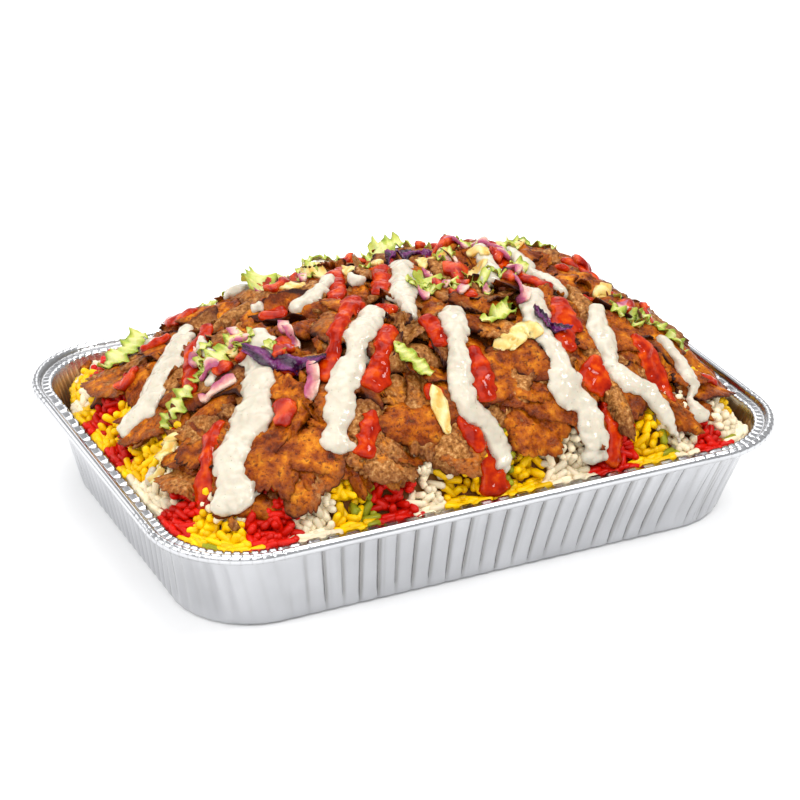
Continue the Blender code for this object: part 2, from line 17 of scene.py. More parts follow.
import bpy
import numpy as np
from mathutils import Euler, Matrix, Quaternion, Vector, noise
from mathutils.bvhtree import BVHTree
from mathutils.kdtree import KDTree

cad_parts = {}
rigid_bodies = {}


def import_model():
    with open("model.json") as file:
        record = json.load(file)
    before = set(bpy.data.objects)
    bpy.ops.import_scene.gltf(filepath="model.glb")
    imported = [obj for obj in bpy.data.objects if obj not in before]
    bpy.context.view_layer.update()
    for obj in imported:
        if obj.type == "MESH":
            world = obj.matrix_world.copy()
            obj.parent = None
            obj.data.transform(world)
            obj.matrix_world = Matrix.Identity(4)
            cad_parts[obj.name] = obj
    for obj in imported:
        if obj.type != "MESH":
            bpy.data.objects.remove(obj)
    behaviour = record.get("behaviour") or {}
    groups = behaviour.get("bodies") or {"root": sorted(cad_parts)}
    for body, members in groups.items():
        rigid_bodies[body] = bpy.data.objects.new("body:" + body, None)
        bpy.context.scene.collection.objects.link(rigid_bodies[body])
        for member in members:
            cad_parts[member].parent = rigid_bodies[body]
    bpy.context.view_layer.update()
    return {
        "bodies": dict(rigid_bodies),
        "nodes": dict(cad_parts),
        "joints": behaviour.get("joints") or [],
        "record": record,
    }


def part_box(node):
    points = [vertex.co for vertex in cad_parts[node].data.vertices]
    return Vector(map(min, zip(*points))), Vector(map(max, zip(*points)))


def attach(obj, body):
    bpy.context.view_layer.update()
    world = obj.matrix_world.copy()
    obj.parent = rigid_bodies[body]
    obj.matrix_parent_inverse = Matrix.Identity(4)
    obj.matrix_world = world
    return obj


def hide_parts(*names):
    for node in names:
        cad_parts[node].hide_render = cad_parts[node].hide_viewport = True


LOG = logging.getLogger("tray_meal")
ROOT = "root"
MM = 0.001
Spot = tuple[float, float]
Triple = tuple[float, float, float]
Pass = tuple[Triple, ...]
# how far each sauce stands off the mound where it was read in the picture
RED_LIFT = 0.0060
WHITE_LIFT = 0.0075


class Slot(Enum):
    """Material slots of the record."""

    FOIL = "foil"
    RICE = "rice"
    MEAT = "meat"
    WHITE = "white_sauce"
    RED = "red_sauce"
    LETTUCE = "lettuce"
    CABBAGE = "cabbage"
    ONION = "onion"
    TOMATO = "tomato"


class Grain(Enum):
    """Colours of rice, each with its sRGB hex."""

    WHITE = "#FBEAC8"
    YELLOW = "#FCC800"
    RED = "#D01200"
    GREEN = "#98981C"


def linear(hex_colour: str) -> tuple[float, float, float, float]:
    """Turn an sRGB hex colour into linear RGBA.

    Args:
        hex_colour: A colour such as "#C0FFEE".

    Returns:
        Linear red, green and blue, and an alpha of 1.
    """
    parts = [int(hex_colour[index:index + 2], 16) / 255 for index in (1, 3, 5)]
    curve = [part / 12.92 if part <= 0.04045 else ((part + 0.055) / 1.055) ** 2.4
             for part in parts]
    return curve[0], curve[1], curve[2], 1.0


def feed(node: bpy.types.Node, inputs: dict) -> None:
    """Set a node's inputs to values, or link them to the outputs that feed them.

    Args:
        node: The node.
        inputs: Socket name or number to a value or an output.
    """
    for name, value in inputs.items():
        if isinstance(value, bpy.types.NodeSocket):
            node.id_data.links.new(value, node.inputs[name])
        else:
            node.inputs[name].default_value = value


def add_node(tree: bpy.types.NodeTree, kind: str, inputs: dict | None = None,
             stops: Sequence[tuple[float, str]] = (), **settings: object) -> bpy.types.Node:
    """Add a node, with its settings and its inputs' values or links.

    Args:
        tree: The node tree that gets the node.
        kind: The node's type name.
        inputs: Socket name or number to a value, or to the output that feeds it.
        stops: Position and hex colour of each stop of a colour ramp, in order.
        **settings: Properties of the node itself.

    Returns:
        The new node.
    """
    node = tree.nodes.new(kind)
    for name, value in settings.items():
        setattr(node, name, value)
    feed(node, inputs or {})
    if stops:
        bar = node.color_ramp.elements
        while len(bar) < len(stops):
            bar.new(0.5)
        for element, (position, colour) in zip(bar, stops):
            element.position = position
            element.color = linear(colour)
    return node


def per_metre(millimetres: float) -> float:
    """Return the noise scale whose features are about this many millimetres wide."""
    return 1.0 / (millimetres * MM)


@dataclass(frozen=True)
class Finish:
    """Base of every finish: a Principled surface read in Object coordinates."""

    name: str
    sheen: float = field(default=0.30, kw_only=True)

    def start(self) -> tuple[bpy.types.Material, bpy.types.Node, bpy.types.NodeSocket,
                             Callable[..., bpy.types.Node]]:
        """Make the material.

        Returns:
            The material, its shader, the Object coordinates that its patterns read, and the
            call that adds a node to it.
        """
        material = bpy.data.materials.new(self.name)
        material.use_nodes = True
        shader = material.node_tree.nodes["Principled BSDF"]
        shader.inputs["Specular IOR Level"].default_value = self.sheen
        add = partial(add_node, material.node_tree)
        return material, shader, add("ShaderNodeTexCoord").outputs["Object"], add

    def build(self) -> bpy.types.Material:
        """Return the finished material."""
        raise NotImplementedError


@dataclass(frozen=True)
class PressedFoil(Finish):
    """Bright aluminium foil, rolled and then pressed: soft mirror with faint handling creases."""

    name: str = "bright pressed aluminium foil"
    sheen: float = field(default=0.5, kw_only=True)
    crease_mm: float = 26.0
    grain_mm: float = 0.8

    def build(self) -> bpy.types.Material:
        """Build the surface.

        Returns:
            The finished material.
        """
        material, shader, place, add = self.start()
        cloud = add("ShaderNodeTexNoise", {"Vector": place, "Scale": per_metre(self.crease_mm),
                                           "Detail": 2.0}).outputs[0]
        shine = add("ShaderNodeMapRange", {"Value": cloud, "From Min": 0.3, "From Max": 0.7,
                                           "To Min": 0.17, "To Max": 0.24}).outputs[0]
        tone = add("ShaderNodeValToRGB", {"Fac": cloud},
                   ((0.30, "#BEBFC2"), (0.70, "#CACBCE"))).outputs["Color"]
        # painted reflection: the inner wall is tinted golden, as if mirroring the rice, and is duller
        juice = add("ShaderNodeAttribute", attribute_name="juice").outputs["Fac"]
        tone = add("ShaderNodeMix", {0: juice, 6: tone, 7: linear("#F0B860")},
                   data_type="RGBA").outputs[2]
        dulled = add("ShaderNodeMath", {0: juice, 1: 0.30, 2: shine}, operation="MULTIPLY_ADD",
                     use_clamp=True).outputs[0]
        # painted shade: folds, crimps and the edges of the rolled bead are painted darker where a real
        # fold would shade itself
        fold = add("ShaderNodeAttribute", attribute_name="fold").outputs["Fac"]
        painted_fold_shade = add("ShaderNodeMath", {0: fold, 1: 0.6}, operation="MULTIPLY").outputs[0]
        tone = add("ShaderNodeMix", {0: painted_fold_shade, 6: tone, 7: linear("#7C7873")},
                   data_type="RGBA").outputs[2]
        # soft dents from handling bend the mirror, and the rolled grain blurs it
        grain = add("ShaderNodeTexNoise", {"Vector": place, "Scale": per_metre(self.grain_mm),
                                           "Detail": 2.0}).outputs[0]
        both = add("ShaderNodeMath", {0: cloud, 1: 12.0, 2: grain},
                   operation="MULTIPLY_ADD").outputs[0]
        bump = add("ShaderNodeBump", {"Height": both, "Distance": 0.03 * MM, "Strength": 0.35})
        feed(shader, {"Metallic": 1.0, "Base Color": tone, "Roughness": dulled,
                      "Normal": bump.outputs[0]})
        return material


@dataclass(frozen=True)
class SteamedRice(Finish):
    """Parboiled rice, steamed and coloured: moist grains that glow a little at the edge."""

    name: str = "steamed rice"
    sheen: float = field(default=0.20, kw_only=True)
    colour: str = Grain.WHITE.value
    shade: float = 0.17
    cloud_mm: float = 3.0
    skin_mm: float = 0.9

    def build(self) -> bpy.types.Material:
        """Build the surface.

        Returns:
            The finished material.
        """
        material, shader, place, add = self.start()
        base = linear(self.colour)
        dark = tuple(part * (1 - 2.2 * self.shade) for part in base[:3]) + (1.0,)
        # each grain has a shade of its own, and is a little cloudy
        tone = add("ShaderNodeAttribute", attribute_name="tone").outputs["Fac"]
        cloud = add("ShaderNodeTexNoise", {"Vector": place, "Scale": per_metre(self.cloud_mm),
                                           "Detail": 3.0}).outputs[0]
        own = add("ShaderNodeMath", {0: tone, 1: 0.75}, operation="MULTIPLY").outputs[0]
        share = add("ShaderNodeMath", {0: cloud, 1: 0.35, 2: own}, operation="MULTIPLY_ADD",
                    use_clamp=True).outputs[0]
        colour = add("ShaderNodeMix", {0: share, 6: dark, 7: base}, data_type="RGBA").outputs[2]
        skin = add("ShaderNodeTexNoise", {"Vector": place, "Scale": per_metre(self.skin_mm),
                                          "Detail": 3.0}).outputs[0]
        bump = add("ShaderNodeBump", {"Height": skin, "Distance": 0.08 * MM, "Strength": 0.4})
        feed(shader, {"Base Color": colour, "Roughness": 0.36, "Subsurface Weight": 0.10,
                      "Subsurface Scale": 0.0012, "Normal": bump.outputs[0]})
        return material


@dataclass(frozen=True)
class GrilledMeat(Finish):
    """Spit-grilled meat: spiced orange crust, paler torn inside, charred wet edges, painted shade in
    gaps.
    """

    name: str = "grilled sliced meat"
    sheen: float = field(default=0.13, kw_only=True)
    # painted shade added to the char value, for pieces that lie in the gaps
    painted_gap_shade: float = 0.0
    fibre_mm: float = 1.8
    blotch_mm: float = 6.0
    pepper_mm: float = 4.8

    def build(self) -> bpy.types.Material:
        """Build the surface.

        Returns:
            The finished material.
        """
        material, shader, place, add = self.start()
        tone = add("ShaderNodeAttribute", attribute_name="tone").outputs["Fac"]
        char = add("ShaderNodeAttribute", attribute_name="char").outputs["Fac"]
        char = add("ShaderNodeMath", {0: char, 1: self.painted_gap_shade}, operation="ADD",
                   use_clamp=True).outputs[0]
        cloud = add("ShaderNodeTexNoise", {"Vector": place, "Scale": per_metre(self.blotch_mm),
                                           "Detail": 4.0, "Roughness": 0.6}).outputs[0]
        fibre = add("ShaderNodeTexNoise", {"Vector": place, "Scale": per_metre(self.fibre_mm),
                                           "Detail": 3.0, "Roughness": 0.6}).outputs[0]
        inside = add("ShaderNodeValToRGB", {"Fac": fibre},
                     ((0.30, "#58300E"), (0.42, "#84501C"), (0.56, "#A87038"),
                      (0.70, "#CE9C60"))).outputs["Color"]
        crust = add("ShaderNodeValToRGB", {"Fac": cloud},
                    ((0.28, "#3C1000"), (0.42, "#803400"), (0.56, "#AC5802"),
                     (0.74, "#DC8C1C"))).outputs["Color"]
        pits = add("ShaderNodeMapRange", {"Value": fibre, "From Min": 0.45, "From Max": 0.34,
                                          "To Min": 0.0, "To Max": 0.80}).outputs[0]
        crust = add("ShaderNodeMix", {0: pits, 6: crust, 7: linear("#4A1602")},
                    data_type="RGBA").outputs[2]
        both = add("ShaderNodeMath", {0: tone, 1: cloud}, operation="ADD").outputs[0]
        spread = add("ShaderNodeMapRange", {"Value": both, "From Min": 0.85,
                                            "From Max": 1.15}).outputs[0]
        colour = add("ShaderNodeMix", {0: spread, 6: inside, 7: crust},
                     data_type="RGBA").outputs[2]
        # pepper and scorch marks, about a millimetre across
        speck = add("ShaderNodeTexVoronoi", {"Vector": place,
                                             "Scale": per_metre(self.pepper_mm)})
        dots = add("ShaderNodeMapRange", {"Value": speck.outputs["Distance"], "From Min": 0.06,
                                          "From Max": 0.13, "To Min": 0.6,
                                          "To Max": 0.0}).outputs[0]
        colour = add("ShaderNodeMix", {0: dots, 6: colour, 7: linear("#4A1C08")},
                     data_type="RGBA").outputs[2]
        # the char value browns the rim and in places blackens it, which is real char; it also carries
        # painted shade on the undersides, the core and the crumbs
        darkened = add("ShaderNodeMath", {0: char, 1: 0.88}, operation="MULTIPLY").outputs[0]
        colour = add("ShaderNodeMix", {0: darkened, 6: colour, 7: linear("#521C04")},
                     data_type="RGBA").outputs[2]
        places = add("ShaderNodeMath", {0: cloud, 1: 0.40}, operation="ADD",
                     use_clamp=True).outputs[0]
        scorched = add("ShaderNodeMath", {0: char, 1: places}, operation="MULTIPLY").outputs[0]
        burnt = add("ShaderNodeMapRange", {"Value": scorched, "From Min": 0.72,
                                           "From Max": 0.92}).outputs[0]
        colour = add("ShaderNodeMix", {0: burnt, 6: colour, 7: linear("#2B0E06")},
                     data_type="RGBA").outputs[2]
        shine = add("ShaderNodeMapRange", {"Value": cloud, "From Min": 0.35, "From Max": 0.65,
                                           "To Min": 0.24, "To Max": 0.46}).outputs[0]
        rough = add("ShaderNodeMath", {0: cloud, 1: 1.5, 2: fibre},
                    operation="MULTIPLY_ADD").outputs[0]
        bump = add("ShaderNodeBump", {"Height": rough, "Distance": 0.9 * MM, "Strength": 0.85})
        feed(shader, {"Base Color": colour, "Roughness": shine, "Subsurface Weight": 0.08,
                      "Subsurface Scale": 0.0015, "Normal": bump.outputs[0]})
        return material


@dataclass(frozen=True)
class YoghurtSauce(Finish):
    """Garlic yoghurt sauce: thick, off-white and glossy, with fine dark herb flecks."""

    name: str = "yoghurt sauce"
    sheen: float = field(default=0.42, kw_only=True)
    cloud_mm: float = 9.0
    fleck_mm: float = 3.0
    lump_mm: float = 2.2

    def build(self) -> bpy.types.Material:
        """Build the surface.

        Returns:
            The finished material.
        """
        material, shader, place, add = self.start()
        cloud = add("ShaderNodeTexNoise", {"Vector": place, "Scale": per_metre(self.cloud_mm),
                                           "Detail": 3.0}).outputs[0]
        colour = add("ShaderNodeValToRGB", {"Fac": cloud},
                     ((0.35, "#BDB4A2"), (0.65, "#CBC3B1"))).outputs["Color"]
        speck = add("ShaderNodeTexVoronoi", {"Vector": place, "Scale": per_metre(self.fleck_mm)})
        dots = add("ShaderNodeMapRange", {"Value": speck.outputs["Distance"], "From Min": 0.06,
                                          "From Max": 0.12, "To Min": 0.5,
                                          "To Max": 0.0}).outputs[0]
        colour = add("ShaderNodeMix", {0: dots, 6: colour, 7: linear("#6B6F48")},
                     data_type="RGBA").outputs[2]
        lump = add("ShaderNodeTexNoise", {"Vector": place, "Scale": per_metre(self.lump_mm),
                                          "Detail": 2.0}).outputs[0]
        bump = add("ShaderNodeBump", {"Height": lump, "Distance": 0.5 * MM, "Strength": 0.5})
        feed(shader, {"Base Color": colour, "Roughness": 0.15, "Subsurface Weight": 0.20,
                      "Subsurface Scale": 0.002, "Normal": bump.outputs[0]})
        return material


@dataclass(frozen=True)
class ChilliSauce(Finish):
    """Chilli sauce: wet, deep orange-red, thinner at its edges, with pulp in it."""

    name: str = "chilli sauce"
    sheen: float = field(default=0.10, kw_only=True)
    cloud_mm: float = 5.0
    pulp_mm: float = 3.4

    def build(self) -> bpy.types.Material:
        """Build the surface.

        Returns:
            The finished material.
        """
        material, shader, place, add = self.start()
        cloud = add("ShaderNodeTexNoise", {"Vector": place, "Scale": per_metre(self.cloud_mm),
                                           "Detail": 3.0}).outputs[0]
        colour = add("ShaderNodeValToRGB", {"Fac": cloud},
                     ((0.30, "#800C00"), (0.52, "#AC2400"), (0.72, "#CC4C04"))).outputs["Color"]
        pulp = add("ShaderNodeTexNoise", {"Vector": place, "Scale": per_metre(self.pulp_mm),
                                          "Detail": 2.0}).outputs[0]
        bump = add("ShaderNodeBump", {"Height": pulp, "Distance": 0.5 * MM, "Strength": 0.45})
        feed(shader, {"Base Color": colour, "Roughness": 0.09, "Coat Weight": 0.10,
                      "Coat Roughness": 0.03, "Normal": bump.outputs[0]})
        return material


@dataclass(frozen=True)
class CutLeaf(Finish):
    """Raw cut vegetable: its colour runs from the rib or flesh to the rim, with a wet skin."""

    name: str = "lettuce leaf"
    rib: str = "#D0CE88"
    flesh: str = "#B2BA50"
    rim: str = "#84982A"
    roughness: float = 0.33
    vein_mm: float = 2.2
    vein_depth: float = 0.7
    cloud_mm: float = 5.0

    def build(self) -> bpy.types.Material:
        """Build the surface.

        Returns:
            The finished material.
        """
        material, shader, place, add = self.start()
        rim = add("ShaderNodeAttribute", attribute_name="rim").outputs["Fac"]
        cloud = add("ShaderNodeTexNoise", {"Vector": place, "Scale": per_metre(self.cloud_mm),
                                           "Detail": 3.0}).outputs[0]
        drift = add("ShaderNodeMath", {0: cloud, 1: 0.5}, operation="SUBTRACT").outputs[0]
        share = add("ShaderNodeMath", {0: drift, 1: rim}, operation="ADD").outputs[0]
        colour = add("ShaderNodeValToRGB", {"Fac": share},
                     ((0.10, self.rib), (0.45, self.flesh), (0.85, self.rim))).outputs["Color"]
        veins = add("ShaderNodeTexNoise", {"Vector": place, "Scale": per_metre(self.vein_mm),
                                           "Detail": 3.0}).outputs[0]
        bump = add("ShaderNodeBump", {"Height": veins, "Distance": self.vein_depth * MM,
                                      "Strength": 0.8})
        feed(shader, {"Base Color": colour, "Roughness": self.roughness,
                      "Subsurface Weight": 0.25, "Subsurface Scale": 0.0015,
                      "Normal": bump.outputs[0]})
        return material


@dataclass(frozen=True)
class StudioPaper(Finish):
    """Matt white studio paper, which lets the tray's soft shadow show."""

    name: str = "white studio paper"
    sheen: float = field(default=0.0, kw_only=True)
    cloud_mm: float = 60.0

    def build(self) -> bpy.types.Material:
        """Build the surface.

        Returns:
            The finished material.
        """
        material, shader, place, add = self.start()
        cloud = add("ShaderNodeTexNoise", {"Vector": place, "Scale": per_metre(self.cloud_mm),
                                           "Detail": 3.0}).outputs[0]
        tone = add("ShaderNodeValToRGB", {"Fac": cloud},
                   ((0.4, "#FAFAFA"), (0.6, "#FCFCFC"))).outputs["Color"]
        feed(shader, {"Base Color": tone, "Roughness": 0.9})
        return material


class MeshStack:
    """Gathers the points, faces and point values of many pieces into one mesh."""

    def __init__(self, *values: str) -> None:
        """Start an empty stack.

        Args:
            *values: Names of its point values.
        """
        self.points: list[np.ndarray] = []
        self.faces: list[tuple[int, ...]] = []
        self.values: dict[str, list[np.ndarray]] = {name: [] for name in values}
        self.count = 0

    def add(self, points: np.ndarray, faces: Iterable[tuple[int, ...]],
            **values: object) -> None:
        """Add one piece.

        Args:
            points: Its points, one row each.
            faces: Its faces, numbered from its own first point.
            **values: For each named value, a number or one number for each point.
        """
        self.points.append(np.asarray(points, float))
        self.faces.extend(tuple(number + self.count for number in face) for face in faces)
        for name, held in self.values.items():
            held.append(np.broadcast_to(np.asarray(values.get(name, 0.0), float),
                                        (len(points),)))
        self.count += len(points)

    def build(self, name: str) -> bpy.types.Object:
        """Make the stack one smooth-shaded object.

        Args:
            name: The object's name.

        Returns:
            The object, linked to the scene.
        """
        mesh = bpy.data.meshes.new(name)
        mesh.from_pydata(np.vstack(self.points).tolist(), [], self.faces)
        for label, held in self.values.items():
            layer = mesh.attributes.new(label, "FLOAT", "POINT")
            layer.data.foreach_set("value", np.concatenate(held).astype(np.float32))
        mesh.shade_smooth()
        item = bpy.data.objects.new(name, mesh)
        bpy.context.scene.collection.objects.link(item)
        return item


def plain_mesh(item: bpy.types.Object) -> bpy.types.Object:
    """Replace an object's mesh by what its modifiers make, and remove them.

    Args:
        item: The object.

    Returns:
        The same object.
    """
    graph = bpy.context.evaluated_depsgraph_get()
    made = bpy.data.meshes.new_from_object(item.evaluated_get(graph),
                                           preserve_all_data_layers=True, depsgraph=graph)
    item.modifiers.clear()
    item.data = made
    made.name = item.name
    return item


def roughen(item: bpy.types.Object, size_mm: float, height: float) -> None:
    """Move a mesh's points in and out by noise.

    Args:
        item: The object.
        size_mm: Width of a lump, in millimetres.
        height: Greatest move, in metres.
    """
    mesh = item.data
    places = np.zeros(len(mesh.vertices) * 3, np.float32)
    outwards = np.zeros(len(mesh.vertices) * 3, np.float32)
    mesh.vertices.foreach_get("co", places)
    mesh.vertices.foreach_get("normal", outwards)
    scaled = (places.reshape(-1, 3) * per_metre(size_mm)).tolist()
    lumps = np.array([noise.noise(Vector(place)) for place in scaled])
    moved = places.reshape(-1, 3) + outwards.reshape(-1, 3) * lumps[:, None] * height
    mesh.vertices.foreach_set("co", moved.astype(np.float32).ravel())
    mesh.update()


def dress(item: bpy.types.Object, finish: bpy.types.Material, slot: Slot,
          *nodes: str) -> bpy.types.Object:
    """Give a piece its material, and tie it to the frame.

    Args:
        item: The piece.
        finish: Its material.
        slot: The record's slot; not used.
        *nodes: CAD nodes that it replaces.

    Returns:
        The piece.
    """
    item.data.materials.clear()
    item.data.materials.append(finish)
    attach(item, ROOT)
    if nodes:
        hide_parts(*nodes)
    item.data.calc_loop_triangles()
    LOG.info("%s: %d triangles", item.name, len(item.data.loop_triangles))
    return item


@dataclass(frozen=True)
class Mound:
    """The food's own form: a dome over the tray's inner outline."""

    half_x: float = 0.150
    half_y: float = 0.113
    edge: float = 0.043
    rise: float = 0.071
    power_x: float = 2.8
    power_y: float = 2.4
    peak_x: float = 0.010
    peak_y: float = -0.016
    rice_x: float = 0.1474
    rice_y: float = 0.1098

    def height(self, x: float, y: float) -> float:
        """Work out the dome over one point.

        Args:
            x: Where it lies along the tray.
            y: Where it lies across it.

        Returns:
            The food's height there.
        """
        across = abs(x - self.peak_x * (1 - (x / self.half_x) ** 2)) / self.half_x
        along = abs(y - self.peak_y * (1 - (y / self.half_y) ** 2)) / self.half_y
        fall = (1 - min(across, 1.0) ** self.power_x) * (1 - min(along, 1.0) ** self.power_y)
        return self.edge + self.rise * fall

    def normal(self, x: float, y: float) -> Vector:
        """Work out the dome's slope at one point.

        Args:
            x: Where it lies along the tray.
            y: Where it lies across it.

        Returns:
            The outward direction there.
        """
        step = 1.5 * MM
        slope_x = (self.height(x + step, y) - self.height(x - step, y)) / (2 * step)
        slope_y = (self.height(x, y + step) - self.height(x, y - step)) / (2 * step)
        return Vector((-slope_x, -slope_y, 1.0)).normalized()

    def spot(self, x: float, y: float, lift: float = 0.0) -> Vector:
        """Return the point on the mound, moved out along its normal."""
        return Vector((x, y, self.height(x, y))) + self.normal(x, y) * lift

    def reach(self, x: float, y: float) -> float:
        """Return how far out a point lies: 0 at the middle, 1 at the rice's outline."""
        return max(abs(x) / self.rice_x, abs(y) / self.rice_y)


def tree_of(items: Iterable[bpy.types.Object]) -> BVHTree:
    """Gather the triangles of several objects.

    Args:
        items: The objects.

    Returns:
        One search tree over them all.
    """
    points: list[np.ndarray] = []
    faces: list[tuple[int, ...]] = []
    count = 0
    for item in items:
        mesh = item.data
        place = np.zeros(len(mesh.vertices) * 3, np.float32)
        mesh.vertices.foreach_get("co", place)
        points.append(place.reshape(-1, 3))
        mesh.calc_loop_triangles()
        corners = np.zeros(len(mesh.loop_triangles) * 3, np.int32)
        mesh.loop_triangles.foreach_get("vertices", corners)
        faces.extend(map(tuple, (corners.reshape(-1, 3) + count).tolist()))
        count += len(mesh.vertices)
    return BVHTree.FromPolygons(np.vstack(points).tolist(), faces)


class Window(Enum):
    """Enlarged parts of the picture in which the sauces were read, by upper left corner."""

    FRONT = (180, 340)
    TOP = (300, 235)
    RIGHT = (480, 330)
    LEFT = (30, 280)


@dataclass(frozen=True)
class Viewpoint:
    """The camera at the photograph's angle, and where on the food it sees a point."""

    place: Triple = (-0.5155, -1.1027, 0.6434)
    target: Triple = (0.0072, 0.0130, 0.0400)
    lens: float = 124.6
    sensor: float = 36.0
    picture: float = 800.0
    enlarged: float = 5.2267
    pixel: float = 0.00052
    top: float = 0.140
    wall_lift: float = 0.0030

    def turn(self) -> Quaternion:
        """Return the camera's turn."""
        return (Vector(self.target) - Vector(self.place)).to_track_quat("-Z", "Y")

    def width(self, pixels: float) -> float:
        """Return the width on the food of so many pixels of an enlarged window."""
        return pixels / self.enlarged * self.pixel

    def onto(self, mound: Mound, window: Window, x: float, y: float, lift: float) -> Spot:
        """Return where on the food the camera sees a point of an enlarged window.

        Args:
            mound: The food's form.
            window: The window that the point was read in.
            x: Its pixels from the window's left.
            y: Its pixels from the window's top.
            lift: How far the sauce stands off the mound, less by the walls.

        Returns:
            The point's x and y.
        """
        left, upper = window.value
        focal = self.lens / self.sensor * self.picture
        across = (left + x / self.enlarged - self.picture / 2) / focal
        down = (upper + y / self.enlarged - self.picture / 2) / focal
        ray = self.turn() @ Vector((across, -down, -1.0))
        spot = Vector(self.place)
        spot += ray * (self.top - spot.z) / ray.z
        step = ray.normalized() * 0.4 * MM
        while spot.z > mound.edge:
            inside = min(1.0, max(0.0, (0.97 - mound.reach(spot.x, spot.y)) / 0.12))
            surface = mound.height(spot.x, spot.y) + self.wall_lift
            surface += (lift - self.wall_lift) * inside
            if spot.z < surface and mound.reach(spot.x, spot.y) < 1.02:
                break
            spot += step
        return spot.x, spot.y


@dataclass(frozen=True)
class Route:
    """One pass of sauce: points read in the picture, after any hidden start.

    A seen point is its x and y in its window and the sauce's width there, in the enlarged
    pixels; a hidden one, behind the ridge, is its x, y and width in metres.
    """

    seen: tuple[tuple[Window, tuple[Triple, ...]], ...]
    hidden: Pass = ()

    def on(self, view: Viewpoint, mound: Mound, lift: float) -> Pass:
        """Set the route on the food.

        Args:
            view: The camera that its seen points were read with.
            mound: The food's form.
            lift: How far the sauce stands off the mound.

        Returns:
            The x, y and width of each point, in metres.
        """
        made = list(self.hidden)
        for window, spots in self.seen:
            for x, y, wide in spots:
                made.append((*view.onto(mound, window, x, y, lift), view.width(wide)))
        return tuple(made)


@dataclass
class Terrain:
    """What the next layer lies on: a search tree with the mound under it."""

    mound: Mound
    items: list[bpy.types.Object]
    tree: BVHTree = field(init=False)
    start: float = 0.040
    tallest: float = 0.0085

    def __post_init__(self) -> None:
        """Make the search tree."""
        self.tree = tree_of(self.items)

    def rise(self, x: float, y: float) -> float:
        """Measure what lies on the mound at a point.

        Args:
            x: Where it lies along the tray.
            y: Where it lies across it.

        Returns:
            How far it stands out, along the mound's normal.
        """
        outward = self.mound.normal(x, y)
        base = self.mound.spot(x, y)
        hit = self.tree.ray_cast(base + outward * self.start, -outward)
        return min(self.tallest, (hit[0] - base).dot(outward)) if hit[0] else 0.0


def ring_faces(rings: Sequence[Sequence[int]], closed: bool = True) -> list[tuple[int, ...]]:
    """Join following rings of points by quads.

    Args:
        rings: Each ring's point numbers.
        closed: Whether a ring's ends meet.

    Returns:
        The quads, as point numbers.
    """
    faces = []
    for near, far in zip(rings, rings[1:]):
        count = len(near)
        for index in range(count if closed else count - 1):
            following = (index + 1) % count
            faces.append((near[index], near[following], far[following], far[index]))
    return faces


